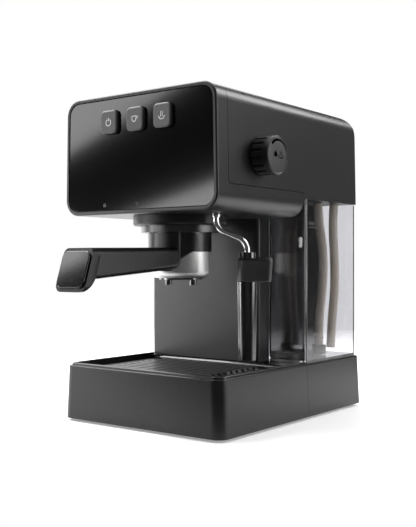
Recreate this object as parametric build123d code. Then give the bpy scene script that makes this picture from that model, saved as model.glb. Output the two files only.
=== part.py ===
from build123d import *
import math
import os

# A home espresso machine with one brew group, a steam wand, a side tank and a drip tray.
# Millimetres. X = 0 is the middle of the body, the front faces -Y and Z = 0 is the worktop.
# Every piece is drawn in that frame, and PLACE at the end puts the origin under the middle
# of the whole machine.

# Base and drip tray
BASE_DEPTH = 244.0            # front of the tray to the rear of the base
BASE_WIDTH = 180.2            # at its top edge
BASE_FLARE = 2.0              # how much further each side stands out at the bottom
BASE_HEIGHT = 49.0            # skirt, from its lower edge to the top
SKIRT_GAP = 2.3               # worktop to the lower edge of the skirt
BASE_CORNER = 10.0            # front corners
BASE_REAR_CORNER = 3.0
BASE_EDGE = 1.2               # rounded top edge
BASE_WALL = 2.5
BASE_DECK = 3.0
BREW_DEPTH = 124.0            # front of the tray to the column
TRAY_TUCK = 15.5              # how far the tray reaches under the column
TRAY_GAP = 0.25               # tray to base, and tray to column
TRAY_RIM = 6.0                # width of the rim round the tray's opening
TRAY_REAR_RIM = 2.5           # opening to the column
TRAY_SKIN = 2.2               # skirt and tub wall, with a hollow between them
TRAY_FLOOR = 2.5
TRAY_CORNER = 7.0
PLATE_WIDTH = 140.0           # bottom plate under the tray
PLATE_SETBACK = 27.0          # front of the tray to the front of the plate
PLATE_THICKNESS = 2.5
PLATE_FIT = 0.3
FOOT_HEIGHT = 3.0
FOOT_RADIUS = 10.0
FOOT_FRONT_X = 56.0
FOOT_FRONT_INSET = 40.0       # from the front of the tray
FOOT_REAR_X = 70.0
FOOT_REAR_INSET = 20.0        # from the rear of the base

# Drip grid
GRID_FIT = 0.4                # grid to the tray's opening
GRID_DROP = 3.6               # the grid's plate lies this far below the rim
GRID_THICKNESS = 2.2
GRID_LEDGE = 4.0
GRID_LEDGE_DEPTH = 12.0
GRID_SEAT = 0.2
FIELD_WIDTH = 116.0           # raised field of bars
FIELD_FRONT = 24.0            # opening's front edge to the field
FIELD_RISE = 2.6
BAR_PITCH = 9.0
BAR_COUNT = 9
BAR_GAP = 3.6
TOOTH_LENGTH = 6.0
SLOT_LENGTH = 17.0
SLOT_PITCH = 21.0
SLOT_COUNT = 5
BAR_DIP = 0.8                 # between the bars the field lies this much lower
TOOTH_SLOPE = 60.0            # degrees, at the ends of the bars
RAIL_WIDTH = 3.0              # rail along the rear of the grid
RAIL_INSET = 2.5

# Upper housing
BREW_GAP = 138.7              # base top to the underside of the housing
HOUSING_HEIGHT = 107.0
HOUSING_WIDTH = 176.8         # at its underside
HOUSING_TAPER = 2.0           # each side leans in by this much at the top
HOUSING_CORNER = 15.0
HOUSING_WALL = 2.6
HOUSING_FRONT_SET = 0.4       # housing front behind the tray front
HOUSING_REAR_SET = 2.2        # housing rear in front of the base rear
REAR_ROUND = 22.0             # rounded top rear edge
BEZEL_DEPTH = 15.4            # front frame seen from the side
CHIN_HEIGHT = 22.5            # front frame below the top cover
CHIN_TUCK = 12.0              # how far the front frame reaches behind the column front
COVER_DROP = 5.5              # the top cover hangs this far lower over the tank
JOINT_LINE = 0.5              # groove between the mouldings
JOINT_CORNER = 3.0
FASCIA_MARGIN = 3.4
FASCIA_DROP = 0.7             # fascia lies this far behind the frame's rim
FASCIA_THICKNESS = 3.0
FASCIA_FIT = 0.2
FASCIA_SEAT = 3.0             # ledge behind the fascia
RIM_ROUND = 1.6
FASCIA_ROUND = 0.6
CUP_PLATE_WIDTH = 132.0
CUP_PLATE_DEPTH = 170.0
CUP_PLATE_FRONT = 30.0        # housing front to the plate
CUP_PLATE_CORNER = 9.0
CUP_PLATE_DROP = 0.6
CUP_PLATE_THICKNESS = 1.4
CUP_PLATE_FIT = 0.3
CUP_RIB_COUNT = 11
CUP_RIB_WIDTH = 3.0

# Column behind the brew space
COLUMN_LEFT = 87.8            # middle to the left side
COLUMN_RIGHT = 45.0           # middle to the right side
COLUMN_CORNER = 4.0
COLUMN_WALL = 2.5
COLUMN_FIT = 0.2
COLUMN_REAR_SET = 2.2
BACK_THICKNESS = 2.5
VENT_COUNT = 9
VENT_PITCH = 8.0
VENT_WIDTH = 70.0
VENT_HEIGHT = 3.0
VENT_TOP = 24.0
SCREW_HEAD = 3.6
SCREW_SHANK = 1.6
SCREW_HEAD_HEIGHT = 1.6
SCREW_INSET = 9.0
GLAND_RADIUS = 8.0
GLAND_HEIGHT = 24.0           # above the base
GLAND_X = -60.0
GLAND_PROUD = 1.8

# Water tank, its deck and the hoses that hang in it
TANK_SIDE_GAP = 0.5           # tank to column
TANK_WIDTH = 42.4
TANK_FRONT_GAP = 0.6          # behind the tray's rear edge
TANK_REAR_SET = 3.0
TANK_SEAT = 0.3
TANK_HEADROOM = 0.8
TANK_WALL = 2.4
TANK_CORNER = 3.4
DECK_THICKNESS = 2.5
DECK_FIT = 0.3
INTAKE_SIDE = 24.0            # housing side to the intake hose
INTAKE_BACK = 39.8            # housing rear to the intake hose
RETURN_SIDE = 16.6
RETURN_BACK = 19.8
HOSE_DIAMETER = 9.0
HOSE_BORE = 6.0
BUSH_RADIUS = 6.5
BUSH_FLANGE = 8.5
BUSH_FLANGE_HEIGHT = 2.0
FILTER_RADIUS = 7.0
FILTER_GAP = 0.9              # filter to the tank floor

# Buttons and the control board
BUTTON_WIDTH = 19.5
BUTTON_HEIGHT = 21.0
BUTTON_CORNER = 4.5
BUTTON_PITCH = 31.0
BUTTON_DROP = 24.5            # housing top to the middle of the buttons
BUTTON_PROUD = 2.4
BUTTON_FIT = 0.3
BUTTON_TRAVEL = 1.5
BUTTON_SKIN = 1.8
BUTTON_FLANGE = 1.6
BUTTON_FLANGE_THICKNESS = 1.2
BUTTON_ROUND = 1.0
SWITCH_PLAY = 0.3             # what is left to the switch when a button is pressed home
SWITCH_SIZE = 6.0
SWITCH_HEIGHT = 7.0
BOARD_WIDTH = 118.0
BOARD_HEIGHT = 36.0
BOARD_THICKNESS = 1.6
POST_RADIUS = 3.0
POST_INSET = 5.0

# Steam knob and valve
KNOB_RADIUS = 17.0
KNOB_LENGTH = 17.2
KNOB_GAP = 0.7                # knob to the side of the housing at its middle
KNOB_BACK = 64.0              # housing front to the knob's axis
KNOB_RISE = 49.5              # housing underside to the knob's axis
FLUTE_COUNT = 20
FLUTE_RADIUS = 1.1
FLUTE_LENGTH = 11.5
KNOB_ROUND = 1.0
SPINDLE_RADIUS = 3.0
SPINDLE_GRIP = 12.0           # how far the spindle reaches into the knob
SPINDLE_FIT = 0.05
SPINDLE_SEAT = 9.0            # how far the spindle reaches into the valve
VALVE_RADIUS = 10.0
VALVE_LENGTH = 20.0
VALVE_OUTLET = 3.0            # outlet boss under the valve
VALVE_PAD = 9.0
VALVE_PAD_REACH = 4.0         # boiler side to the valve

# Boiler and brew group
GROUP_SETBACK = 62.0          # tray front to the group's axis
BOILER_RADIUS = 40.0
BOILER_FLANGE = 47.0
FLANGE_THICKNESS = 4.0
BOILER_SPLIT = 29.0           # housing underside to the lower flange
BOILER_HEIGHT = 72.0
BOILER_ROUND = 8.0
BOLT_RADIUS = 2.5
BOLT_HEAD = 3.3
BOLT_HEAD_HEIGHT = 3.5
BOLT_COUNT = 4
THERMOSTAT_RADIUS = 8.0
THERMOSTAT_HEIGHT = 6.0
THERMOSTAT_REACH = 23.0
GROUP_RADIUS = 44.0
GROUP_HEIGHT = 9.0
GROUP_ROUND = 2.0
COLLAR_RADIUS = 36.5
COLLAR_HEIGHT = 6.3
LEDGE_RADIUS = 29.4           # opening of the bayonet ledge
LEDGE_HEIGHT = 2.0
EAR_GROOVE = 33.2
EAR_RADIUS = 32.7
EAR_ANGLE = 44.0
EAR_SEAT = 0.2
EAR_WAY = 4.0                 # free angle on each side of an ear in its way in
LOCK_TURN = 45.0
GASKET_INNER = 24.8
GASKET_OUTER = 31.5
GASKET_HEIGHT = 3.0
GASKET_PROUD = 0.5
SCREEN_RADIUS = 23.0
SCREEN_HEIGHT = 1.2
SCREEN_HOLE = 0.8
SCREEN_RINGS = 3
SCREEN_HOLES = 8              # holes in the inner ring; each ring outwards has as many more
SCREW_RADIUS = 2.5
SCREW_LENGTH = 8.0

# Portafilter
CUP_RADIUS = 27.5
CUP_BORE = 25.8
CUP_HEIGHT = 46.5             # bottom of the cup to its rim
CUP_FLOOR = 4.0
CUP_ROUND = 6.0
BASKET_RADIUS = 25.0
BASKET_RIM = 27.0
BASKET_WALL = 0.8
BASKET_DEPTH = 24.0
BASKET_GAP = 0.3              # basket rim to the gasket
SLEEVE_THICKNESS = 1.3
SLEEVE_HEIGHT = 17.4
SLEEVE_GAP = 0.3              # sleeve to the bayonet ledge
DRAIN_RADIUS = 3.0
SPOUT_DISC = 20.0
SPOUT_DISC_HEIGHT = 1.5
SPOUT_OUTER = 3.3
SPOUT_BORE = 2.0
SPOUT_SPREAD = 14.5
SPOUT_LENGTH = 5.0
HANDLE_REACH = 143.4          # group axis to the tip
SADDLE_WIDTH = 36.0
SADDLE_THICKNESS = 2.2
SADDLE_DROP = 35.0            # top of the sleeve to the bottom of the saddle
SADDLE_CORNER = 10.0
FLAP_WIDTH = 49.0             # where the sleeve's lower edge turns down to the saddle
NECK_TOP = 13.8               # below the top of the sleeve, where the arm leaves it
NECK_HEIGHT = 19.4
GRIP_WIDTH = 33.0             # at the flare
GRIP_TOP = 15.6
GRIP_HEIGHT = 26.3
TAIL_WIDTH = 34.0
TAIL_TOP = 16.1
TAIL_HEIGHT = 35.0
TAIL_RIM = 3.5                # straight edge of the flared end
FLARE_DEPTH = 6.0
FLARE_STEPS = 5               # sections of the flare's rounded back
HANDLE_ROUND = 5.0
TAIL_CORNER = 7.0
CAP_WIDTH = 31.0
CAP_HEIGHT = 31.2
CAP_RISE = 1.0                # above the middle of the flared end
CAP_CORNER = 5.5
CAP_THICKNESS = 2.0
CAP_ROUND = 0.8
CAP_LEAN = 18.0               # degrees
ROD_RADIUS = 4.0
ROD_LENGTH = 46.0

# Steam wand
SWIVEL_X = 52.0
SWIVEL_BACK = 47.0            # tray front to the swivel
SWIVEL_RADIUS = 4.0
SWIVEL_FIT = 0.05
SWIVEL_BELOW = 3.0            # swivel's shoulder under the housing
SWIVEL_HEAD = 6.5
SWIVEL_HEAD_HEIGHT = 2.0
SWIVEL_SEAT = 0.3
SOCKET_RADIUS = 9.0
SOCKET_HEIGHT = 12.0
SOCKET_HOLE = 6.0
SOCKET_ARM = 10.0             # width of the arm that the steam pipe stands on
PIPE_RADIUS = 2.75
PIPE_BORE = 1.6
PIPE_DROP = 13.0              # housing underside to the first bend
PIPE_SHIFT_X = 19.5
PIPE_SHIFT_Y = 20.0
PIPE_FALL = 11.5              # height lost between the bends
PIPE_BEND = 12.0
PIPE_LENGTH = 42.0            # housing underside to the grip's core
WAND_COLLAR_RADIUS = 7.5
WAND_COLLAR_HEIGHT = 5.0
WAND_COLLAR_TOP = 34.0        # below the housing underside
WAND_GRIP_RADIUS = 9.25
WAND_GRIP_HEIGHT = 21.0
WAND_TAB_REACH = 24.0
WAND_TAB_WIDTH = 9.0
WAND_TAB_LEAN = 3.0
SLEEVE_TOP_RADIUS = 9.0
SLEEVE_TIP_RADIUS = 7.75
SLEEVE_LENGTH = 69.0
SLEEVE_SKIN = 1.1
TIP_RADIUS = 3.6
TIP_LENGTH = 58.0
TIP_GRIP = 4.0

# Pump and inner pipes
PUMP_X = -25.0
PUMP_BACK = 58.0              # column front to the pump's axis
PUMP_RADIUS = 16.0
PUMP_HEIGHT = 84.0
PUMP_FIT = 0.1
MOUNT_RADIUS = 13.0
MOUNT_HEIGHT = 15.0
COIL_WIDTH = 46.0
COIL_DEPTH = 40.0
COIL_HEIGHT = 38.0
COIL_RISE = 22.0
TUBE_RADIUS = 3.0
TUBE_BEND = 10.0
NOZZLE_SPREAD = 8.0
FEED_RISE = 20.0              # feed pipe above the tank deck
RETURN_RISE = 16.0            # pipes above the boiler

# Places worked out from the sizes above
BASE_FRONT = -BASE_DEPTH / 2
BASE_REAR = BASE_DEPTH / 2
BASE_TOP = SKIRT_GAP + BASE_HEIGHT
HOUSING_LOW = BASE_TOP + BREW_GAP
HOUSING_TOP = HOUSING_LOW + HOUSING_HEIGHT
HOUSING_FRONT = BASE_FRONT + HOUSING_FRONT_SET
HOUSING_REAR = BASE_REAR - HOUSING_REAR_SET
COLUMN_FRONT = BASE_FRONT + BREW_DEPTH
COLUMN_REAR = BASE_REAR - COLUMN_REAR_SET
TRAY_REAR = COLUMN_FRONT + TRAY_TUCK
CHIN_TOP = HOUSING_LOW + CHIN_HEIGHT
CHIN_REAR = COLUMN_FRONT + CHIN_TUCK
DECK_LOW = CHIN_TOP - COVER_DROP
BEZEL_REAR = HOUSING_FRONT + BEZEL_DEPTH
FLOOR_TOP = HOUSING_LOW + HOUSING_WALL
GROUP_Y = BASE_FRONT + GROUP_SETBACK
PLATE_LOW = FOOT_HEIGHT
PLATE_TOP = PLATE_LOW + PLATE_THICKNESS
TUB_LOW = PLATE_TOP + 2 * TRAY_GAP
OPENING_X = BASE_WIDTH / 2 - TRAY_RIM
OPENING_FRONT = BASE_FRONT + BASE_FLARE / 2 + TRAY_RIM
OPENING_REAR = COLUMN_FRONT - TRAY_REAR_RIM
GRID_TOP = BASE_TOP - GRID_DROP
GRID_LOW = GRID_TOP - GRID_THICKNESS
TANK_LEFT = COLUMN_RIGHT + TANK_SIDE_GAP
TANK_RIGHT = TANK_LEFT + TANK_WIDTH
TANK_FRONT = TRAY_REAR + TANK_FRONT_GAP
TANK_REAR = BASE_REAR - TANK_REAR_SET
TANK_LOW = BASE_TOP + TANK_SEAT
TANK_TOP = DECK_LOW - TANK_HEADROOM
DECK_TOP = DECK_LOW + DECK_THICKNESS
FASCIA_FRONT = HOUSING_FRONT + FASCIA_DROP
FASCIA_REAR = FASCIA_FRONT + FASCIA_THICKNESS
LEDGE_REAR = FASCIA_REAR + FASCIA_SEAT
BUTTON_Z = HOUSING_TOP - BUTTON_DROP
BUTTON_FRONT = FASCIA_FRONT - BUTTON_PROUD
BUTTON_INSIDE = BUTTON_FRONT + BUTTON_SKIN
FLANGE_FRONT = FASCIA_REAR + BUTTON_FIT
SWITCH_FRONT = BUTTON_INSIDE + BUTTON_TRAVEL + SWITCH_PLAY
BOARD_FRONT = SWITCH_FRONT + SWITCH_HEIGHT
BOARD_REAR = BOARD_FRONT + BOARD_THICKNESS
KNOB_Y = HOUSING_FRONT + KNOB_BACK
KNOB_Z = HOUSING_LOW + KNOB_RISE
KNOB_IN = HOUSING_WIDTH / 2 - HOUSING_TAPER * KNOB_RISE / HOUSING_HEIGHT + KNOB_GAP
KNOB_OUT = KNOB_IN + KNOB_LENGTH
VALVE_IN = BOILER_RADIUS + VALVE_PAD_REACH
VALVE_OUT = VALVE_IN + VALVE_LENGTH
BOILER_JOINT = HOUSING_LOW + BOILER_SPLIT + FLANGE_THICKNESS
BOILER_TOP = HOUSING_LOW + BOILER_HEIGHT
BOLT_CIRCLE = (BOILER_RADIUS + BOILER_FLANGE) / 2
GROUP_LOW = HOUSING_LOW - GROUP_HEIGHT
COLLAR_LOW = GROUP_LOW - COLLAR_HEIGHT
EAR_LOW = COLLAR_LOW + LEDGE_HEIGHT + EAR_SEAT
BASKET_TOP = GROUP_LOW - GASKET_PROUD - BASKET_GAP
CUP_RIM = BASKET_TOP - BASKET_WALL
CUP_LOW = CUP_RIM - CUP_HEIGHT
SLEEVE_TOP = COLLAR_LOW - SLEEVE_GAP
SLEEVE_LOW = SLEEVE_TOP - SLEEVE_HEIGHT
SLEEVE_RADIUS = CUP_RADIUS + SLEEVE_THICKNESS
SADDLE_LOW = SLEEVE_TOP - SADDLE_DROP
SPOUT_TOP = CUP_LOW
SPOUT_PLATE_LOW = SPOUT_TOP - SPOUT_DISC_HEIGHT
SPOUT_LOW = SPOUT_PLATE_LOW - SPOUT_LENGTH
CAP_LEAN_RISE = math.sin(math.radians(CAP_LEAN))
CAP_LEAN_OUT = math.cos(math.radians(CAP_LEAN))
CAP_Z = SLEEVE_TOP - TAIL_TOP - TAIL_HEIGHT / 2
CAP_Y = GROUP_Y - HANDLE_REACH + CAP_HEIGHT / 2 * CAP_LEAN_RISE
CAP_PLANE = Plane((0, CAP_Y, CAP_Z), x_dir=(1, 0, 0), z_dir=(0, -CAP_LEAN_OUT, CAP_LEAN_RISE))
SWIVEL_Y = BASE_FRONT + SWIVEL_BACK
SOCKET_TOP = FLOOR_TOP + SOCKET_HEIGHT
WAND_X = SWIVEL_X + PIPE_SHIFT_X
WAND_Y = SWIVEL_Y + PIPE_SHIFT_Y
WAND_COLLAR_Z = HOUSING_LOW - WAND_COLLAR_TOP
GRIP_Z = WAND_COLLAR_Z - WAND_COLLAR_HEIGHT
WAND_SLEEVE_Z = GRIP_Z - WAND_GRIP_HEIGHT
PUMP_Y = COLUMN_FRONT + PUMP_BACK
PUMP_LOW = BASE_TOP + MOUNT_HEIGHT
PUMP_TOP = PUMP_LOW + PUMP_HEIGHT
BUSH_TOP = DECK_TOP + BUSH_FLANGE_HEIGHT
FILTER_LOW = TANK_LOW + TANK_WALL + FILTER_GAP

INTAKE_X = HOUSING_WIDTH / 2 - INTAKE_SIDE
INTAKE_Y = HOUSING_REAR - INTAKE_BACK
RETURN_X = HOUSING_WIDTH / 2 - RETURN_SIDE
RETURN_Y = HOUSING_REAR - RETURN_BACK


def hung(x, y, drops):
    """Route of a hose from its place in the deck: each drop is a shift in X and Y and a fall in Z."""
    return [(x + shift_x, y + shift_y, DECK_LOW - fall) for shift_x, shift_y, fall in drops]


# Routes of the two hoses that hang in the tank, from the deck down
INTAKE_ROUTE = hung(INTAKE_X, INTAKE_Y, [
    (0, 0, 0), (0, 0, 22), (3.0, 0.3, 52), (6.0, 0.8, 84), (1.2, 0.4, 121), (1.2, 0.4, 143),
])
RETURN_ROUTE = hung(RETURN_X, RETURN_Y, [
    (0, 0, 0), (0, 0, 27), (1.8, 0.2, 61), (2.4, 0.6, 95), (1.4, 0.3, 125), (1.4, 0.3, 147),
])


def block(x, y, z):
    """Box between a low and a high value on each axis."""
    spans = (x, y, z)
    centre = [(low + high) / 2 for low, high in spans]
    return Pos(*centre) * Box(*[high - low for low, high in spans])


def slab(x, y, z, corner):
    """Block with rounded upright corners."""
    outline = RectangleRounded(x[1] - x[0], y[1] - y[0], corner)
    return extrude(Pos((x[0] + x[1]) / 2, (y[0] + y[1]) / 2, z[0]) * outline, amount=z[1] - z[0])


def post(x, y, z, radius):
    """Round post along Z."""
    return Pos(x, y, (z[0] + z[1]) / 2) * Cylinder(radius, z[1] - z[0])


def ring(x, y, z, outer, inner):
    """Round ring along Z."""
    return post(x, y, z, outer) - post(x, y, z, inner)


def rod_x(x, y, z, radius):
    """Round rod along X."""
    return Pos((x[0] + x[1]) / 2, y, z) * Rot(0, 90, 0) * Cylinder(radius, x[1] - x[0])


def rod_y(x, y, z, radius):
    """Round rod along Y."""
    return Pos(x, (y[0] + y[1]) / 2, z) * Rot(90, 0, 0) * Cylinder(radius, y[1] - y[0])


def along_y(sketch, y):
    """Upright outline, drawn in X and Z, carried along Y."""
    return extrude(Plane.XZ.offset(-y[1]) * sketch, amount=y[1] - y[0])


def across(points, corners):
    """Side outline in Y and Z, carried across the whole width; corners maps a point to its radius."""
    outline = make_face(Polyline(*points, close=True))
    for index, radius in corners.items():
        corner = outline.vertices().sort_by_distance(points[index])[0]
        outline = fillet(corner, radius)
    return extrude(Plane.YZ * outline, amount=BASE_WIDTH, both=True)


def housing_run(inset, y):
    """Rounded section of the upper housing, drawn in by inset and carried along Y."""
    half_low = HOUSING_WIDTH / 2 - inset
    half_top = half_low - HOUSING_TAPER
    low = HOUSING_LOW + inset
    top = HOUSING_TOP - inset
    corners = [(-half_low, low), (half_low, low), (half_top, top), (-half_top, top)]
    section = make_face(Polyline(*corners, close=True))
    return along_y(fillet(section.vertices(), HOUSING_CORNER - inset), y)


def base_body(inset):
    """Base and tray together: a rounded block whose sides lean in."""
    def outline(half_width, lean, z):
        depth = BASE_DEPTH - 2 * inset - 2 * lean
        corners = Rectangle(2 * half_width, depth).vertices().sort_by(Axis.Y)
        section = fillet(corners[:2], BASE_CORNER - inset)
        rear = section.vertices().sort_by(Axis.Y)[-2:]
        return Pos(0, 0, z) * fillet(rear, BASE_REAR_CORNER)
    low = outline(BASE_WIDTH / 2 + BASE_FLARE - inset, 0, SKIRT_GAP)
    top = outline(BASE_WIDTH / 2 - inset, BASE_FLARE / 2, BASE_TOP)
    body = loft([low, top], ruled=True)
    return fillet(body.faces().sort_by(Axis.Z)[-1].edges(), BASE_EDGE)


def piped(points, bends, outer, inner):
    """Round pipe along straight runs joined by arcs."""
    path = FilletPolyline(*points, radius=bends)
    section = Circle(outer) - Circle(inner)
    return sweep(Plane(path @ 0, z_dir=path % 0) * section, path=path)


def make_base_pan():
    """Rear base: deck and walls, open below, with bosses for the rear feet."""
    reach = BASE_WIDTH
    rear = (TRAY_REAR, BASE_REAR)
    inside = (TRAY_REAR + BASE_WALL, BASE_REAR)
    pan = base_body(0) & block((-reach, reach), rear, (0, BASE_TOP))
    pan -= base_body(BASE_WALL) & block((-reach, reach), inside, (0, BASE_TOP - BASE_DECK))
    pan -= plate_outline(PLATE_FIT, (0, PLATE_TOP))
    for x in (-FOOT_REAR_X, FOOT_REAR_X):
        pan += post(x, BASE_REAR - FOOT_REAR_INSET, (PLATE_TOP, BASE_TOP - BASE_DECK), FOOT_RADIUS / 2)
    return pan


def plate_outline(fit, z):
    """Bottom plate: a tongue under the tray, inside the front wall of the rear base."""
    half = PLATE_WIDTH / 2 + fit
    return block((-half, half), (BASE_FRONT + PLATE_SETBACK - fit, TRAY_REAR + BASE_WALL), z)


def make_bottom_plate():
    """Flat plate that closes the base and carries the tray and the feet."""
    height = (PLATE_LOW, PLATE_TOP)
    reach = BASE_WIDTH
    behind = block((-reach, reach), (TRAY_REAR + BASE_WALL, BASE_REAR), height)
    return plate_outline(0, height) + (base_body(BASE_WALL) & behind)


def make_feet():
    """Four rubber feet."""
    places = []
    for side in (-1, 1):
        places.append((side * FOOT_FRONT_X, BASE_FRONT + FOOT_FRONT_INSET))
        places.append((side * FOOT_REAR_X, BASE_REAR - FOOT_REAR_INSET))
    return [post(x, y, (0, PLATE_LOW), FOOT_RADIUS) for x, y in places]


def make_drip_tray():
    """Drip tray: a skirt like the base's, with a tub hung in it and ledges for the grid."""
    reach = BASE_WIDTH
    rear = TRAY_REAR - TRAY_GAP
    x = (-OPENING_X, OPENING_X)
    y = (OPENING_FRONT, OPENING_REAR)
    outer = base_body(0) & block((-reach, reach), (BASE_FRONT, rear), (0, BASE_TOP))
    inside = block((-reach, reach), (BASE_FRONT, rear - TRAY_SKIN), (0, BASE_TOP - TRAY_SKIN))
    tub_x = (x[0] - TRAY_SKIN, x[1] + TRAY_SKIN)
    tub_y = (y[0] - TRAY_SKIN, y[1] + TRAY_SKIN)
    tub = slab(tub_x, tub_y, (TUB_LOW, BASE_TOP), TRAY_CORNER + TRAY_SKIN)
    tray = outer - ((base_body(TRAY_SKIN) & inside) - tub)
    tray -= slab(x, y, (TUB_LOW + TRAY_FLOOR, BASE_TOP + 1), TRAY_CORNER)
    tray -= plate_outline(2 * PLATE_FIT, (0, TUB_LOW))
    ledge_top = GRID_LOW - GRID_SEAT
    ledge_y = (y[0] + FIELD_FRONT, y[1] - FIELD_FRONT)
    ledge_z = (ledge_top - GRID_LEDGE_DEPTH, ledge_top)
    for side in (-1, 1):
        edges = sorted((side * (OPENING_X - GRID_LEDGE), side * (OPENING_X + TRAY_SKIN / 2)))
        tray += block(edges, ledge_y, ledge_z)
    return tray


def make_drip_grid():
    """Drip grid: a plate with a raised field of bars, toothed at both ends, and slots between them."""
    half = OPENING_X - GRID_FIT
    y = (OPENING_FRONT + GRID_FIT, OPENING_REAR - GRID_FIT)
    grid = slab((-half, half), y, (GRID_LOW, GRID_TOP), TRAY_CORNER - GRID_FIT)
    first = OPENING_FRONT + FIELD_FRONT
    last = first + (BAR_COUNT - 1) * BAR_PITCH
    bar_half = (BAR_PITCH - BAR_GAP) / 2
    core_half = FIELD_WIDTH / 2 - TOOTH_LENGTH
    field_top = GRID_TOP + FIELD_RISE
    core_z = (GRID_TOP, field_top - BAR_DIP)
    grid += block((-core_half, core_half), (first - bar_half, last + bar_half), core_z)
    tooth = Trapezoid(FIELD_WIDTH, FIELD_RISE, TOOTH_SLOPE)
    for row in range(BAR_COUNT):
        bar_y = first + row * BAR_PITCH
        bar = along_y(Pos(0, GRID_TOP + FIELD_RISE / 2) * tooth, (bar_y - bar_half, bar_y + bar_half))
        grid += bar
    slots = []
    for row in range(BAR_COUNT - 1):
        slot_y = first + (row + 0.5) * BAR_PITCH
        for column in range(SLOT_COUNT):
            slot_x = (column - (SLOT_COUNT - 1) / 2) * SLOT_PITCH
            slot_span = (slot_x - SLOT_LENGTH / 2, slot_x + SLOT_LENGTH / 2)
            slots.append(block(slot_span, (slot_y - BAR_GAP / 2, slot_y + BAR_GAP / 2), (0, BASE_TOP)))
    grid -= slots
    rail_y = (y[1] - RAIL_INSET - RAIL_WIDTH, y[1] - RAIL_INSET)
    rail_half = half - TRAY_CORNER
    return grid + block((-rail_half, rail_half), rail_y, (GRID_TOP, field_top))


def make_column_shell():
    """Column behind the brew space: front and side walls, open at the rear, shaped to the housing above."""
    x = (-COLUMN_LEFT, COLUMN_RIGHT)
    inner_x = (x[0] + COLUMN_WALL, x[1] - COLUMN_WALL)
    past_rear = COLUMN_REAR + 2 * COLUMN_CORNER
    height = (BASE_TOP, DECK_LOW)
    inner_y = (COLUMN_FRONT + COLUMN_WALL, past_rear)
    shell = slab(x, (COLUMN_FRONT, past_rear), height, COLUMN_CORNER)
    shell -= slab(inner_x, inner_y, height, COLUMN_CORNER - COLUMN_WALL)
    shell &= block(x, (COLUMN_FRONT, COLUMN_REAR), height)
    shell -= housing_run(-COLUMN_FIT, (HOUSING_FRONT, CHIN_REAR + COLUMN_FIT))
    over_tray = (BASE_TOP, BASE_TOP + 2 * TRAY_GAP)
    return shell - block((-BASE_WIDTH, BASE_WIDTH), (BASE_FRONT, TRAY_REAR), over_tray)


def back_cover_places():
    """Middle of each screw in the column's back cover, in X and Z."""
    left = -COLUMN_LEFT + COLUMN_WALL + SCREW_INSET
    right = COLUMN_RIGHT - COLUMN_WALL - SCREW_INSET
    return [(x, z) for x in (left, right) for z in (BASE_TOP + SCREW_INSET, DECK_LOW - SCREW_INSET)]


def make_column_back():
    """Rear cover of the column, with vents, screw holes and the hole of the gland."""
    x = (-COLUMN_LEFT + COLUMN_WALL, COLUMN_RIGHT - COLUMN_WALL)
    y = (COLUMN_REAR - BACK_THICKNESS, COLUMN_REAR)
    cover = block(x, y, (BASE_TOP, DECK_LOW))
    middle = (x[0] + x[1]) / 2
    vents = []
    for row in range(VENT_COUNT):
        z = DECK_LOW - VENT_TOP - row * VENT_PITCH
        outline = Pos(middle, z) * SlotOverall(VENT_WIDTH, VENT_HEIGHT)
        vents.append(along_y(outline, y))
    holes = [rod_y(px, y, pz, SCREW_SHANK) for px, pz in back_cover_places()]
    return cover - vents - holes - rod_y(GLAND_X, y, BASE_TOP + GLAND_HEIGHT, GLAND_RADIUS)


def make_cover_screws():
    """Four screws of the back cover."""
    screws = []
    for x, z in back_cover_places():
        head = rod_y(x, (COLUMN_REAR, COLUMN_REAR + SCREW_HEAD_HEIGHT), z, SCREW_HEAD)
        screws.append(head + rod_y(x, (COLUMN_REAR - BACK_THICKNESS, COLUMN_REAR), z, SCREW_SHANK))
    return screws


def make_cord_gland():
    """Gland for the mains lead in the back cover."""
    z = BASE_TOP + GLAND_HEIGHT
    y = (COLUMN_REAR - BACK_THICKNESS, COLUMN_REAR + GLAND_PROUD)
    return rod_y(GLAND_X, y, z, GLAND_RADIUS) - rod_y(GLAND_X, y, z, GLAND_RADIUS / 2)


def make_front_frame():
    """Front frame: bezel round the fascia and the chin under the group, in one moulding."""
    sides = [
        (HOUSING_FRONT, HOUSING_LOW), (CHIN_REAR, HOUSING_LOW), (CHIN_REAR, CHIN_TOP),
        (BEZEL_REAR, CHIN_TOP), (BEZEL_REAR, HOUSING_TOP), (HOUSING_FRONT, HOUSING_TOP),
    ]
    body = housing_run(0, (HOUSING_FRONT, CHIN_REAR))
    body = fillet(body.faces().sort_by(Axis.Y)[0].edges(), RIM_ROUND)
    frame = body & across(sides, {3: JOINT_CORNER})
    frame -= housing_run(FASCIA_MARGIN, (HOUSING_FRONT, FASCIA_REAR))
    frame -= housing_run(FASCIA_MARGIN + FASCIA_SEAT, (FASCIA_REAR, LEDGE_REAR))
    frame -= housing_run(HOUSING_WALL, (LEDGE_REAR, CHIN_REAR - HOUSING_WALL))
    frame -= post(0, GROUP_Y, (HOUSING_LOW, FLOOR_TOP), BOILER_RADIUS)
    return frame - post(SWIVEL_X, SWIVEL_Y, (HOUSING_LOW, FLOOR_TOP), SOCKET_HOLE)


def cup_plate_outline(fit, z):
    """Cup plate in the top of the housing."""
    half = CUP_PLATE_WIDTH / 2 + fit
    front = HOUSING_FRONT + CUP_PLATE_FRONT
    y = (front - fit, front + CUP_PLATE_DEPTH + fit)
    return slab((-half, half), y, z, CUP_PLATE_CORNER + fit)


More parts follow.
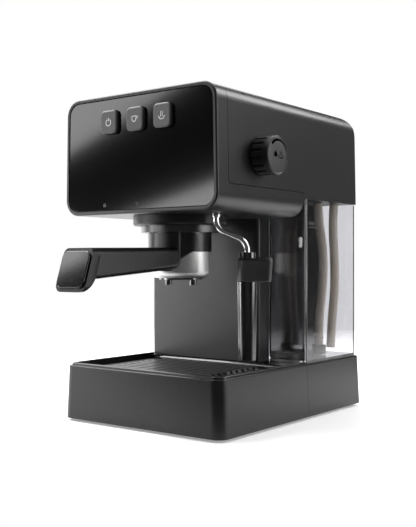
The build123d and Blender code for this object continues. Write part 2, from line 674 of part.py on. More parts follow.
def make_top_cover():
    """Top cover: top, sides and rear of the upper housing, with a recess for the cup plate."""
    front = BEZEL_REAR + JOINT_LINE
    step = CHIN_REAR + JOINT_LINE
    edge = CHIN_TOP + JOINT_LINE
    outside = [
        (front, HOUSING_TOP), (HOUSING_REAR, HOUSING_TOP), (HOUSING_REAR, DECK_LOW),
        (step, DECK_LOW), (step, edge), (front, edge),
    ]
    top = HOUSING_TOP - HOUSING_WALL
    rear = HOUSING_REAR - HOUSING_WALL
    inside = [(BEZEL_REAR, top), (rear, top), (rear, HOUSING_LOW), (BEZEL_REAR, HOUSING_LOW)]
    run = (BEZEL_REAR, HOUSING_REAR)
    cover = housing_run(0, run) & across(outside, {1: REAR_ROUND, 5: JOINT_CORNER})
    cover -= housing_run(HOUSING_WALL, run) & across(inside, {1: REAR_ROUND - HOUSING_WALL})
    recess = HOUSING_TOP - CUP_PLATE_DROP - CUP_PLATE_THICKNESS
    cover += cup_plate_outline(HOUSING_WALL, (recess - HOUSING_WALL, HOUSING_TOP - HOUSING_WALL))
    cover -= cup_plate_outline(CUP_PLATE_FIT, (recess, HOUSING_TOP))
    return cover - rod_x((0, HOUSING_WIDTH), KNOB_Y, KNOB_Z, 2 * SPINDLE_RADIUS)


def make_cup_plate():
    """Metal plate for cups, with shallow grooves across it."""
    top = HOUSING_TOP - CUP_PLATE_DROP
    plate = cup_plate_outline(0, (top - CUP_PLATE_THICKNESS, top))
    front = HOUSING_FRONT + CUP_PLATE_FRONT
    pitch = CUP_PLATE_DEPTH / (CUP_RIB_COUNT + 1)
    half = CUP_PLATE_WIDTH / 2 - CUP_PLATE_CORNER
    grooves = []
    for row in range(CUP_RIB_COUNT):
        y = front + (row + 1) * pitch
        groove_y = (y - CUP_RIB_WIDTH / 2, y + CUP_RIB_WIDTH / 2)
        grooves.append(block((-half, half), groove_y, (top - CUP_PLATE_THICKNESS / 2, top)))
    return plate - grooves


def button_outline(grow):
    """Rounded square of a button, larger by grow on every side."""
    return RectangleRounded(BUTTON_WIDTH + 2 * grow, BUTTON_HEIGHT + 2 * grow, BUTTON_CORNER + grow)


def button_places():
    """Middle of each button in X: power, coffee and steam."""
    return [-BUTTON_PITCH, 0.0, BUTTON_PITCH]


def board_posts():
    """Middle of each post between fascia and control board, in X and Z."""
    x = BOARD_WIDTH / 2 - POST_INSET
    z = BOARD_HEIGHT / 2 - POST_INSET
    return [(side * x, BUTTON_Z + row * z) for side in (-1, 1) for row in (-1, 1)]


def make_fascia():
    """Glossy front panel with three button holes and the posts of the control board."""
    panel = housing_run(FASCIA_MARGIN + FASCIA_FIT, (FASCIA_FRONT, FASCIA_REAR))
    panel = fillet(panel.faces().sort_by(Axis.Y)[0].edges(), FASCIA_ROUND)
    for x in button_places():
        panel -= along_y(Pos(x, BUTTON_Z) * button_outline(BUTTON_FIT), (FASCIA_FRONT, FASCIA_REAR))
    for x, z in board_posts():
        panel += rod_y(x, (FASCIA_REAR, BOARD_FRONT), z, POST_RADIUS)
    return panel


def make_button(x):
    """Push button: a hollow cap with a flange behind the fascia."""
    at = Pos(x, BUTTON_Z)
    flange_rear = FLANGE_FRONT + BUTTON_FLANGE_THICKNESS
    cap = along_y(at * button_outline(0), (BUTTON_FRONT, flange_rear))
    cap = fillet(cap.faces().sort_by(Axis.Y)[0].edges(), BUTTON_ROUND)
    cap += along_y(at * button_outline(BUTTON_FLANGE), (FLANGE_FRONT, flange_rear))
    return cap - along_y(at * button_outline(-BUTTON_SKIN), (BUTTON_INSIDE, flange_rear))


def make_control_board():
    """Circuit board behind the fascia."""
    return along_y(Pos(0, BUTTON_Z) * Rectangle(BOARD_WIDTH, BOARD_HEIGHT), (BOARD_FRONT, BOARD_REAR))


def make_switches():
    """One switch behind each button."""
    size = Rectangle(SWITCH_SIZE, SWITCH_SIZE)
    return [along_y(Pos(x, BUTTON_Z) * size, (SWITCH_FRONT, BOARD_FRONT)) for x in button_places()]


def make_steam_knob():
    """Steam knob: fluted round its rear two thirds, with a hole for the spindle."""
    knob = rod_x((KNOB_IN, KNOB_OUT), KNOB_Y, KNOB_Z, KNOB_RADIUS)
    knob = fillet(knob.faces().sort_by(Axis.X)[-1].edges(), KNOB_ROUND)
    flutes = []
    for index in range(FLUTE_COUNT):
        angle = 2 * math.pi * index / FLUTE_COUNT
        y = KNOB_Y + KNOB_RADIUS * math.cos(angle)
        z = KNOB_Z + KNOB_RADIUS * math.sin(angle)
        flutes.append(rod_x((KNOB_IN, KNOB_IN + FLUTE_LENGTH), y, z, FLUTE_RADIUS))
    knob -= flutes
    return knob - rod_x((KNOB_IN, KNOB_IN + SPINDLE_GRIP), KNOB_Y, KNOB_Z, SPINDLE_RADIUS)


def make_valve_spindle():
    """Spindle from the steam valve to the knob."""
    return rod_x((VALVE_OUT - SPINDLE_SEAT, KNOB_IN + SPINDLE_GRIP), KNOB_Y, KNOB_Z, SPINDLE_RADIUS)


def make_steam_valve():
    """Steam valve beside the boiler, bored for the spindle, with its outlet below."""
    valve = rod_x((VALVE_IN, VALVE_OUT), KNOB_Y, KNOB_Z, VALVE_RADIUS)
    valve += post(SWIVEL_X, KNOB_Y, (KNOB_Z - VALVE_RADIUS - VALVE_OUTLET, KNOB_Z), TUBE_RADIUS)
    bore = SPINDLE_RADIUS + SPINDLE_FIT
    return valve - rod_x((VALVE_OUT - SPINDLE_SEAT, VALVE_OUT), KNOB_Y, KNOB_Z, bore)


def bolt_places():
    """Middle of each boiler bolt in X and Y."""
    turns = [2 * math.pi * (index + 0.5) / BOLT_COUNT for index in range(BOLT_COUNT)]
    return [(BOLT_CIRCLE * math.cos(turn), GROUP_Y + BOLT_CIRCLE * math.sin(turn)) for turn in turns]


def make_boiler_lower():
    """Lower half of the boiler, down to the group, with its flange."""
    flange = (BOILER_JOINT - FLANGE_THICKNESS, BOILER_JOINT)
    boiler = post(0, GROUP_Y, (HOUSING_LOW, BOILER_JOINT), BOILER_RADIUS)
    boiler += post(0, GROUP_Y, flange, BOILER_FLANGE)
    for x, y in bolt_places():
        boiler -= post(x, y, flange, BOLT_RADIUS)
    return boiler


def make_boiler_upper():
    """Upper half of the boiler, with its flange and the pad of the steam valve."""
    flange = (BOILER_JOINT, BOILER_JOINT + FLANGE_THICKNESS)
    boiler = post(0, GROUP_Y, (BOILER_JOINT, BOILER_TOP), BOILER_RADIUS)
    boiler = fillet(boiler.faces().sort_by(Axis.Z)[-1].edges(), BOILER_ROUND)
    boiler += post(0, GROUP_Y, flange, BOILER_FLANGE)
    pad_y = (KNOB_Y - VALVE_PAD, KNOB_Y + VALVE_PAD)
    boiler += block((0, VALVE_IN), pad_y, (KNOB_Z - VALVE_PAD, KNOB_Z + VALVE_PAD))
    for x, y in bolt_places():
        boiler -= post(x, y, flange, BOLT_RADIUS)
    return boiler


def make_boiler_bolts():
    """Bolts through both boiler flanges."""
    low = BOILER_JOINT - FLANGE_THICKNESS
    top = BOILER_JOINT + FLANGE_THICKNESS
    bolts = []
    for x, y in bolt_places():
        head = post(x, y, (top, top + BOLT_HEAD_HEIGHT), BOLT_HEAD)
        bolts.append(post(x, y, (low, top), BOLT_RADIUS) + head)
    return bolts


def make_thermostats():
    """Two thermostats on top of the boiler."""
    height = (BOILER_TOP, BOILER_TOP + THERMOSTAT_HEIGHT)
    middle = post(0, GROUP_Y, height, THERMOSTAT_RADIUS)
    return [middle, post(-THERMOSTAT_REACH, GROUP_Y, height, THERMOSTAT_RADIUS)]


def make_group_flange():
    """Brew group under the housing, grooved below for its gasket."""
    flange = post(0, GROUP_Y, (GROUP_LOW, HOUSING_LOW), GROUP_RADIUS)
    flange = fillet(flange.faces().sort_by(Axis.Z)[0].edges(), GROUP_ROUND)
    flange -= ring(0, GROUP_Y, (GROUP_LOW, gasket_top()), GASKET_OUTER, GASKET_INNER)
    return flange - post(0, GROUP_Y, (GROUP_LOW, HOUSING_LOW), SCREW_RADIUS)


def gasket_top():
    """Height of the gasket's seat in the group."""
    return GROUP_LOW - GASKET_PROUD + GASKET_HEIGHT


def sector(inner, outer, middle, width, z):
    """Part of a ring round the group's axis: width degrees about the direction middle."""
    far = 2 * outer
    half = math.radians(width / 2)
    wedge = make_face(Polyline((0, 0), (far * math.cos(half), -far * math.sin(half)),
                               (far * math.cos(half), far * math.sin(half)), close=True))
    wedge = extrude(Pos(0, GROUP_Y, z[0]) * Rot(0, 0, middle) * wedge, amount=z[1] - z[0])
    return ring(0, GROUP_Y, z, outer, inner) & wedge


def make_group_collar():
    """Bayonet ring: a ledge with two ways in for the ears, and a groove above it."""
    ledge = (COLLAR_LOW, COLLAR_LOW + LEDGE_HEIGHT)
    collar = ring(0, GROUP_Y, (COLLAR_LOW, GROUP_LOW), COLLAR_RADIUS, EAR_GROOVE)
    collar += ring(0, GROUP_Y, ledge, EAR_GROOVE, LEDGE_RADIUS)
    for turn in (-LOCK_TURN, 180 - LOCK_TURN):
        collar -= sector(LEDGE_RADIUS / 2, EAR_GROOVE, turn, EAR_ANGLE + 2 * EAR_WAY, ledge)
    return collar


def make_group_gasket():
    """Rubber gasket that the basket's rim seals on."""
    return ring(0, GROUP_Y, (GROUP_LOW - GASKET_PROUD, gasket_top()), GASKET_OUTER, GASKET_INNER)


def make_shower_screen():
    """Shower screen under the group, with rings of holes round its screw."""
    height = (GROUP_LOW - SCREEN_HEIGHT, GROUP_LOW)
    screen = ring(0, GROUP_Y, height, SCREEN_RADIUS, SCREW_RADIUS)
    step = (SCREEN_RADIUS - SCREW_RADIUS) / (SCREEN_RINGS + 1)
    for number in range(1, SCREEN_RINGS + 1):
        circle = SCREW_RADIUS + number * step
        places = PolarLocations(circle, number * SCREEN_HOLES)
        holes = places * Circle(SCREEN_HOLE)
        screen -= extrude(Pos(0, GROUP_Y, height[0]) * Sketch(holes), amount=SCREEN_HEIGHT)
    return screen


def make_shower_screw():
    """Screw that holds the shower screen."""
    return post(0, GROUP_Y, (GROUP_LOW - SCREEN_HEIGHT, GROUP_LOW + SCREW_LENGTH), SCREW_RADIUS)


def make_portafilter_cup():
    """Metal cup of the portafilter, with two bayonet ears and a drain."""
    cup = post(0, GROUP_Y, (CUP_LOW, CUP_RIM), CUP_RADIUS)
    cup = fillet(cup.faces().sort_by(Axis.Z)[0].edges(), CUP_ROUND)
    for turn in (0, 180):
        cup += sector(CUP_BORE, EAR_RADIUS, turn, EAR_ANGLE, (EAR_LOW, CUP_RIM))
    cup -= post(0, GROUP_Y, (CUP_LOW + CUP_FLOOR, CUP_RIM), CUP_BORE)
    cup -= post(0, GROUP_Y, (CUP_LOW, CUP_LOW + CUP_FLOOR), DRAIN_RADIUS)
    return cup - rod_y(0, (GROUP_Y - CUP_RADIUS, GROUP_Y - CUP_BORE), rod_height(), ROD_RADIUS)


def rod_height():
    """Height of the rod in the handle."""
    return SLEEVE_TOP - NECK_TOP - NECK_HEIGHT / 2


def make_portafilter_sleeve():
    """Dark sleeve round the cup; its lower edge runs down to the handle on both sides."""
    sleeve = ring(0, GROUP_Y, (SLEEVE_LOW, SLEEVE_TOP), SLEEVE_RADIUS, CUP_RADIUS)
    high = FLAP_WIDTH / 2
    half = SADDLE_WIDTH / 2
    flap_low = SLEEVE_LOW - (high - half)
    flap = make_face(Polyline((-high, SLEEVE_LOW), (-half, flap_low), (half, flap_low), (high, SLEEVE_LOW),
                              close=True))
    apron = ring(0, GROUP_Y, (SADDLE_LOW, SLEEVE_LOW), SLEEVE_RADIUS, CUP_RADIUS)
    sleeve += apron & along_y(flap, (GROUP_Y - SLEEVE_RADIUS, GROUP_Y))
    return sleeve - rod_y(0, (GROUP_Y - SLEEVE_RADIUS, GROUP_Y), rod_height(), ROD_RADIUS)


def make_filter_basket():
    """Filter basket that hangs in the cup by its rim."""
    low = BASKET_TOP - BASKET_DEPTH
    basket = post(0, GROUP_Y, (low, BASKET_TOP), BASKET_RADIUS)
    basket += post(0, GROUP_Y, (BASKET_TOP - BASKET_WALL, BASKET_TOP), BASKET_RIM)
    return basket - post(0, GROUP_Y, (low + BASKET_WALL, BASKET_TOP), BASKET_RADIUS - BASKET_WALL)


def make_portafilter_spouts():
    """Twin spout under the cup."""
    spouts = post(0, GROUP_Y, (SPOUT_PLATE_LOW, SPOUT_TOP), SPOUT_DISC)
    for x in (-SPOUT_SPREAD, SPOUT_SPREAD):
        spouts += post(x, GROUP_Y, (SPOUT_LOW, SPOUT_TOP), SPOUT_OUTER)
    for x in (-SPOUT_SPREAD, SPOUT_SPREAD):
        spouts -= post(x, GROUP_Y, (SPOUT_LOW, SPOUT_PLATE_LOW), SPOUT_BORE)
    return spouts


def handle_section(reach, width, drop, height):
    """Rounded upright section of the handle, reach from the group's axis and drop below the sleeve's top."""
    outline = RectangleRounded(width, height, HANDLE_ROUND)
    return Plane.XZ.offset(reach - GROUP_Y) * Pos(0, SLEEVE_TOP - drop - height / 2) * outline


def tail_section(depth, grown):
    """Section of the flared end, depth behind its cap; grown is 0 at the grip and 1 at the rim."""
    pairs = [(GRIP_WIDTH, TAIL_WIDTH), (GRIP_TOP, TAIL_TOP), (GRIP_HEIGHT, TAIL_HEIGHT)]
    width, drop, height = [start + (end - start) * grown for start, end in pairs]
    middle = SLEEVE_TOP - drop - height / 2
    y = CAP_Y + (depth + CAP_LEAN_RISE * (middle - CAP_Z)) / CAP_LEAN_OUT
    corner = HANDLE_ROUND + (TAIL_CORNER - HANDLE_ROUND) * grown
    outline = RectangleRounded(width, height / CAP_LEAN_OUT, corner)
    return Plane((0, y, middle), x_dir=(1, 0, 0), z_dir=CAP_PLANE.z_dir) * outline


def make_portafilter_handle():
    """Handle: a saddle on the sleeve, an arm that deepens to the grip, and a flared, cut-off end."""
    rim_back = CAP_THICKNESS + TAIL_RIM
    arm = loft([
        handle_section(CUP_BORE, SADDLE_WIDTH, NECK_TOP, NECK_HEIGHT),
        handle_section(HANDLE_REACH - rim_back, GRIP_WIDTH, GRIP_TOP, GRIP_HEIGHT),
    ], ruled=True)
    turns = [math.pi / 2 * step / FLARE_STEPS for step in range(FLARE_STEPS + 1)]
    flare = loft([tail_section(rim_back + FLARE_DEPTH * math.sin(turn), math.cos(turn)) for turn in turns])
    tail = loft([tail_section(0, 1), tail_section(rim_back, 1)], ruled=True)
    saddle_angle = 2 * math.degrees(math.asin(SADDLE_WIDTH / 2 / SLEEVE_RADIUS))
    saddle_radius = SLEEVE_RADIUS + SADDLE_THICKNESS
    saddle = sector(CUP_BORE, saddle_radius, -90, saddle_angle, (SADDLE_LOW, SLEEVE_TOP))
    shield = Pos(0, SADDLE_LOW + SADDLE_DROP) * RectangleRounded(SADDLE_WIDTH, 2 * SADDLE_DROP, SADDLE_CORNER)
    saddle &= along_y(shield, (GROUP_Y - saddle_radius, GROUP_Y))
    handle = arm + flare + tail + saddle
    handle -= post(0, GROUP_Y, (0, HOUSING_TOP), SLEEVE_RADIUS)
    outside = 2 * HANDLE_REACH
    handle -= CAP_PLANE * Pos(0, 0, outside / 2 - CAP_THICKNESS) * Box(outside, outside, outside)
    return handle - rod_y(0, (GROUP_Y - SLEEVE_RADIUS - ROD_LENGTH, GROUP_Y), rod_height(), ROD_RADIUS)


def make_handle_cap():
    """Plate on the cut-off end of the handle."""
    outline = Pos(0, CAP_RISE) * RectangleRounded(CAP_WIDTH, CAP_HEIGHT, CAP_CORNER)
    cap = extrude(CAP_PLANE * outline, amount=-CAP_THICKNESS)
    return fillet(cap.faces().sort_by(Axis.Y)[0].edges(), CAP_ROUND)


def make_handle_rod():
    """Threaded rod from the cup into the handle."""
    return rod_y(0, (GROUP_Y - SLEEVE_RADIUS - ROD_LENGTH, GROUP_Y - CUP_BORE), rod_height(), ROD_RADIUS)


def make_wand_socket():
    """Socket on the floor of the front frame, bored for the wand's swivel, with an arm for its pipe."""
    height = (FLOOR_TOP, SOCKET_TOP)
    arm_x = (SWIVEL_X - SOCKET_ARM / 2, SWIVEL_X + SOCKET_ARM / 2)
    socket = post(SWIVEL_X, SWIVEL_Y, height, SOCKET_RADIUS)
    socket += block(arm_x, (SWIVEL_Y, KNOB_Y + SOCKET_ARM / 2), height)
    return socket - post(SWIVEL_X, SWIVEL_Y, height, SWIVEL_RADIUS + SWIVEL_FIT)


def make_wand_swivel():
    """Swivel of the wand: a journal in the socket with a head above it."""
    head = (SOCKET_TOP + SWIVEL_SEAT, SOCKET_TOP + SWIVEL_SEAT + SWIVEL_HEAD_HEIGHT)
    swivel = post(SWIVEL_X, SWIVEL_Y, (HOUSING_LOW - SWIVEL_BELOW, head[1]), SWIVEL_RADIUS)
    return swivel + post(SWIVEL_X, SWIVEL_Y, head, SWIVEL_HEAD)


def make_steam_pipe():
    """Bent steam pipe of the wand."""
    bend = HOUSING_LOW - PIPE_DROP
    route = [
        (SWIVEL_X, SWIVEL_Y, HOUSING_LOW - SWIVEL_BELOW), (SWIVEL_X, SWIVEL_Y, bend),
        (WAND_X, WAND_Y, bend - PIPE_FALL), (WAND_X, WAND_Y, HOUSING_LOW - PIPE_LENGTH),
    ]
    return piped(route, PIPE_BEND, PIPE_RADIUS, PIPE_BORE)


def wand_hole(z):
    """Room for the steam pipe in a piece of the wand."""
    return post(WAND_X, WAND_Y, z, PIPE_RADIUS)


def make_wand_collar():
    """Rubber collar on top of the wand's grip."""
    height = (GRIP_Z, WAND_COLLAR_Z)
    return post(WAND_X, WAND_Y, height, WAND_COLLAR_RADIUS) - wand_hole(height)


def make_wand_grip():
    """Rubber grip of the wand with a finger tab."""
    low = WAND_SLEEVE_Z
    grip = post(WAND_X, WAND_Y, (low, GRIP_Z), WAND_GRIP_RADIUS)
    reach = WAND_X + WAND_TAB_REACH
    tab = make_face(Polyline((WAND_X, low), (reach - WAND_TAB_LEAN, low), (reach, GRIP_Z),
                             (WAND_X, GRIP_Z), close=True))
    tab = fillet(tab.vertices().sort_by(Axis.X)[-2:], WAND_TAB_LEAN)
    grip += along_y(tab, (WAND_Y - WAND_TAB_WIDTH / 2, WAND_Y + WAND_TAB_WIDTH / 2))
    grip -= wand_hole((HOUSING_LOW - PIPE_LENGTH, GRIP_Z))
    return grip - post(WAND_X, WAND_Y, (low, low + TIP_GRIP), TIP_RADIUS)


def make_froth_sleeve():
    """Tapered metal sleeve of the wand, open at its tip."""
    middle = Pos(WAND_X, WAND_Y, WAND_SLEEVE_Z - SLEEVE_LENGTH / 2)
    bore = Cone(SLEEVE_TIP_RADIUS - SLEEVE_SKIN, SLEEVE_TOP_RADIUS - SLEEVE_SKIN, SLEEVE_LENGTH)
    return middle * (Cone(SLEEVE_TIP_RADIUS, SLEEVE_TOP_RADIUS, SLEEVE_LENGTH) - bore)


def make_wand_tip():
    """Steam nozzle inside the froth sleeve."""
    low = WAND_SLEEVE_Z + TIP_GRIP - TIP_LENGTH
    return ring(WAND_X, WAND_Y, (low, WAND_SLEEVE_Z + TIP_GRIP), TIP_RADIUS, PIPE_BORE)


def make_water_tank():
    """Clear water tank, open at the top."""
    x = (TANK_LEFT, TANK_RIGHT)
    y = (TANK_FRONT, TANK_REAR)
    tank = slab(x, y, (TANK_LOW, TANK_TOP), TANK_CORNER)
    inner_x = (x[0] + TANK_WALL, x[1] - TANK_WALL)
    inner_y = (y[0] + TANK_WALL, y[1] - TANK_WALL)
    return tank - slab(inner_x, inner_y, (TANK_LOW + TANK_WALL, TANK_TOP), TANK_CORNER - TANK_WALL)


def hose_places():
    """Where the two hoses leave the deck, in X and Y."""
    return [(INTAKE_X, INTAKE_Y), (RETURN_X, RETURN_Y)]


def make_tank_deck():
    """Deck under the top cover, open over the column and holed for the hose bushes."""
    half = HOUSING_WIDTH / 2 - HOUSING_WALL - HOUSING_TAPER
    y = (CHIN_REAR + JOINT_LINE, HOUSING_REAR - HOUSING_WALL - DECK_FIT)
    height = (DECK_LOW, DECK_TOP)
    deck = block((-half, half), y, height)
    frame = 3 * COLUMN_WALL
    open_x = (-COLUMN_LEFT + frame, COLUMN_RIGHT - frame)
    deck -= block(open_x, (y[0] + frame, y[1] - frame), height)
    for hose_x, hose_y in hose_places():
        deck -= post(hose_x, hose_y, height, BUSH_RADIUS)
    return deck


def make_hose_bushes():
    """Rubber bushes that hold the hoses in the deck."""
    bushes = []
    for x, y in hose_places():
        bush = post(x, y, (DECK_LOW, DECK_TOP), BUSH_RADIUS)
        bushes.append(bush + post(x, y, (DECK_TOP, BUSH_TOP), BUSH_FLANGE))
    return bushes


def bend_radii(route):
    """Largest even bend at each inner point of a route: 0.45 of the shorter run over tan of half the turn."""
    radii = []
    for before, here, after in zip(route, route[1:], route[2:]):
        first = Vector(here) - Vector(before)
        second = Vector(after) - Vector(here)
        half_turn = math.radians(first.get_angle(second)) / 2
        radii.append(0.45 * min(first.length, second.length) / math.tan(half_turn))
    return radii


def make_hose(name, route):
    """Silicone hose along its route; prints its bends, length and how its volume fits its section."""
    radii = bend_radii(route)
    hose = piped(route, radii, HOSE_DIAMETER / 2, HOSE_BORE / 2)
    length = FilletPolyline(*route, radius=radii).length
    section = math.pi * (HOSE_DIAMETER ** 2 - HOSE_BORE ** 2) / 4
    print(name, "bends", [round(radius) for radius in radii], "length", round(length, 1),
          "volume over section times length", round(hose.volume / (section * length), 4))
    return hose


def make_intake_filter():
    """Filter on the foot of the intake hose."""
    x, y, top = INTAKE_ROUTE[-1]
    return post(x, y, (FILTER_LOW, top), FILTER_RADIUS)


def make_pump_mounts():
    """Rubber mount under the pump."""
    return post(PUMP_X, PUMP_Y, (BASE_TOP, PUMP_LOW), MOUNT_RADIUS)


def make_pump_body():
    """Vibration pump, upright in the column."""
    return post(PUMP_X, PUMP_Y, (PUMP_LOW, PUMP_TOP), PUMP_RADIUS)


def make_pump_coil():
    """Coil block round the pump."""
    low = PUMP_LOW + COIL_RISE
    x = (PUMP_X - COIL_WIDTH / 2, PUMP_X + COIL_WIDTH / 2)
    y = (PUMP_Y - COIL_DEPTH / 2, PUMP_Y + COIL_DEPTH / 2)
    coil = block(x, y, (low, low + COIL_HEIGHT))
    return coil - post(PUMP_X, PUMP_Y, (low, low + COIL_HEIGHT), PUMP_RADIUS + PUMP_FIT)


def inner_pipe(points):
    """Solid water pipe inside the machine."""
    path = FilletPolyline(*points, radius=TUBE_BEND)
    return sweep(Plane(path @ 0, z_dir=path % 0) * Circle(TUBE_RADIUS), path=path)


def make_pump_feed_pipe():
    """Pipe from the intake hose to the pump."""
    x, y = hose_places()[0]
    top = BUSH_TOP + FEED_RISE
    inlet_x = PUMP_X + NOZZLE_SPREAD
    return inner_pipe([(x, y, BUSH_TOP), (x, y, top), (inlet_x, PUMP_Y, top), (inlet_x, PUMP_Y, PUMP_TOP)])


def make_boiler_feed_pipe():
    """Pipe from the pump to the boiler."""
    top = BOILER_TOP + RETURN_RISE
    outlet_x = PUMP_X - NOZZLE_SPREAD
    end_y = GROUP_Y + BOILER_RADIUS / 2
    end_x = -BOILER_RADIUS / 4
    return inner_pipe([(outlet_x, PUMP_Y, PUMP_TOP), (outlet_x, PUMP_Y, top), (end_x, end_y, top),
                       (end_x, end_y, BOILER_TOP)])


def make_return_pipe():
    """Pipe from the boiler's relief back to the tank."""
    x, y = hose_places()[1]
    top = BOILER_TOP + RETURN_RISE
    end_x = BOILER_RADIUS / 2
    return inner_pipe([(x, y, BUSH_TOP), (x, y, top), (end_x, GROUP_Y, top), (end_x, GROUP_Y, BOILER_TOP)])


def make_steam_feed_pipe():
    """Pipe from the steam valve down to the arm of the wand's socket."""
    return post(SWIVEL_X, KNOB_Y, (SOCKET_TOP, KNOB_Z - VALVE_RADIUS - VALVE_OUTLET), TUBE_RADIUS)


NODES = {
    "base_pan": make_base_pan(),
    "bottom_plate": make_bottom_plate(),
    "feet": make_feet(),
    "column_shell": make_column_shell(),
    "column_back": make_column_back(),
    "cover_screws": make_cover_screws(),
    "cord_gland": make_cord_gland(),
    "front_frame": make_front_frame(),
    "top_cover": make_top_cover(),
    "cup_plate": make_cup_plate(),
    "fascia": make_fascia(),
    "control_board": make_control_board(),
    "button_switches": make_switches(),
    "power_button": make_button(button_places()[0]),
    "coffee_button": make_button(button_places()[1]),
    "steam_button": make_button(button_places()[2]),
    "steam_knob": make_steam_knob(),
    "valve_spindle": make_valve_spindle(),
    "steam_valve": make_steam_valve(),
    "steam_feed_pipe": make_steam_feed_pipe(),
    "boiler_lower": make_boiler_lower(),
    "boiler_upper": make_boiler_upper(),
    "boiler_bolts": make_boiler_bolts(),
    "thermostats": make_thermostats(),
    "group_flange": make_group_flange(),
    "group_collar": make_group_collar(),
    "group_gasket": make_group_gasket(),
    "shower_screen": make_shower_screen(),
    "shower_screw": make_shower_screw(),
    "portafilter_cup": make_portafilter_cup(),
    "portafilter_sleeve": make_portafilter_sleeve(),
    "filter_basket": make_filter_basket(),
    "portafilter_spouts": make_portafilter_spouts(),
    "portafilter_handle": make_portafilter_handle(),
    "handle_cap": make_handle_cap(),
    "handle_rod": make_handle_rod(),
    "wand_socket": make_wand_socket(),
    "wand_swivel": make_wand_swivel(),
    "steam_pipe": make_steam_pipe(),
    "wand_collar": make_wand_collar(),
    "wand_grip": make_wand_grip(),
    "froth_sleeve": make_froth_sleeve(),
    "wand_tip": make_wand_tip(),
    "drip_tray": make_drip_tray(),
    "drip_grid": make_drip_grid(),
    "water_tank": make_water_tank(),
    "tank_deck": make_tank_deck(),
    "hose_bushes": make_hose_bushes(),
    "intake_hose": make_hose("intake_hose", INTAKE_ROUTE),
    "return_hose": make_hose("return_hose", RETURN_ROUTE),
    "intake_filter": make_intake_filter(),
    "pump_mount": make_pump_mounts(),
    "pump_body": make_pump_body(),
    "pump_coil": make_pump_coil(),
    "pump_feed_pipe": make_pump_feed_pipe(),
    "boiler_feed_pipe": make_boiler_feed_pipe(),
    "return_pipe": make_return_pipe(),
}

# The origin lies on the worktop, under the middle of the whole machine
LEFT_REACH = -BASE_WIDTH / 2 - BASE_FLARE
FRONT_REACH = GROUP_Y - HANDLE_REACH
PLACE = Pos(-(LEFT_REACH + KNOB_OUT) / 2, -(FRONT_REACH + BASE_REAR) / 2, 0)

os.makedirs("parts", exist_ok=True)
for name, shape in NODES.items():
    solids = shape if isinstance(shape, list) else shape.solids()
    placed = [PLACE * solid for solid in solids]
    export_step(placed[0] if len(placed) == 1 else Compound(children=placed), f"parts/{name}.step")
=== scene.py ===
# %% [markdown]
# # A home espresso machine
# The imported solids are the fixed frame: their places and sizes never change here. This lesson
# dresses them. Pieces whose solids already have the right shape only get a finish. Pieces that
# the eye lingers on, such as the keys and the knob, are surfaces worked out with numpy.

# %% Load the frame
import math
import bmesh
import bpy
import numpy as np
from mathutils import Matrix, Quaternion, Vector


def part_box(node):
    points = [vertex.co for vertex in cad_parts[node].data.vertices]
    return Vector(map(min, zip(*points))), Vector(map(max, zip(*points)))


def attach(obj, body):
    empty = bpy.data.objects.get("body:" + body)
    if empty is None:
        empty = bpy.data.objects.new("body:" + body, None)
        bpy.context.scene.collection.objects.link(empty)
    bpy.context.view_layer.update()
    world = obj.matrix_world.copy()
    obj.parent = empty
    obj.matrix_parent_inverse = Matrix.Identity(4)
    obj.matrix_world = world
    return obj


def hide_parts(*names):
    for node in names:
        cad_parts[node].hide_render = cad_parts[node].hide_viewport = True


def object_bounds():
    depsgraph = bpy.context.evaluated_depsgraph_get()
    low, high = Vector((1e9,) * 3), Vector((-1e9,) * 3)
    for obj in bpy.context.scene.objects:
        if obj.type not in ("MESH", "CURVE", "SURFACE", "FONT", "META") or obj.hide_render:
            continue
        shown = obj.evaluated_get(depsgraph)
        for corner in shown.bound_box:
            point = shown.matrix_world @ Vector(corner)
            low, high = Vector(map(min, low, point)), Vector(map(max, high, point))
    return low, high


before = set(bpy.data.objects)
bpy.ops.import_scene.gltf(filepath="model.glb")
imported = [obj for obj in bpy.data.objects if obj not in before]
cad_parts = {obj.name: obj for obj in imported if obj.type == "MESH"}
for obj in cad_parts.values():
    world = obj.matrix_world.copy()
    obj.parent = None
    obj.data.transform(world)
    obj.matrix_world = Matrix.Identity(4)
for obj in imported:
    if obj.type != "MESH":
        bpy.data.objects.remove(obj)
CAD_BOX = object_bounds()
MM = 0.001

# %% [markdown]
# ## Camera
# The photograph was taken at half the machine's height, turned to its right front corner, with
# a level camera: upright edges stay upright. The lens and place come from fitting the machine's
# straight edges, and are measured from the middle of the base's rear edge.

# %% Camera
BASE_LOW, BASE_HIGH = [np.array(corner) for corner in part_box("base_pan")]
REAR_MIDDLE = np.array([(BASE_LOW[0] + BASE_HIGH[0]) / 2, BASE_HIGH[1], 0.0])
CAMERA_FROM_REAR = (0.49969, -0.80220, 0.14624)
CAMERA_AT = REAR_MIDDLE + CAMERA_FROM_REAR
CAMERA_AZIMUTH = 37.03
CAMERA_LENS = 58.41
camera_data = bpy.data.cameras.new("camera")
camera_data.lens = CAMERA_LENS
camera_data.sensor_width = 36.0
camera_data.clip_start = 0.01
camera = bpy.data.objects.new("camera", camera_data)
camera.location = CAMERA_AT
camera.rotation_euler = (math.radians(90), 0.0, math.radians(CAMERA_AZIMUTH))
bpy.context.scene.collection.objects.link(camera)
bpy.context.scene.camera = camera
print("camera at", np.round(CAMERA_AT, 4))

# %% [markdown]
# ## Measures from the frame
# Every size below starts from a node's box, so the looks follow the solids.

# %% Measures


def low(node):
    """Lowest corner of a node's box, as an array in metres."""
    return np.array(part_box(node)[0])


def high(node):
    """Highest corner of a node's box, as an array in metres."""
    return np.array(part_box(node)[1])


def middle(node):
    """Middle of a node's box."""
    return (low(node) + high(node)) / 2


KNOB = middle("steam_knob")
print("knob", np.round(KNOB, 4))

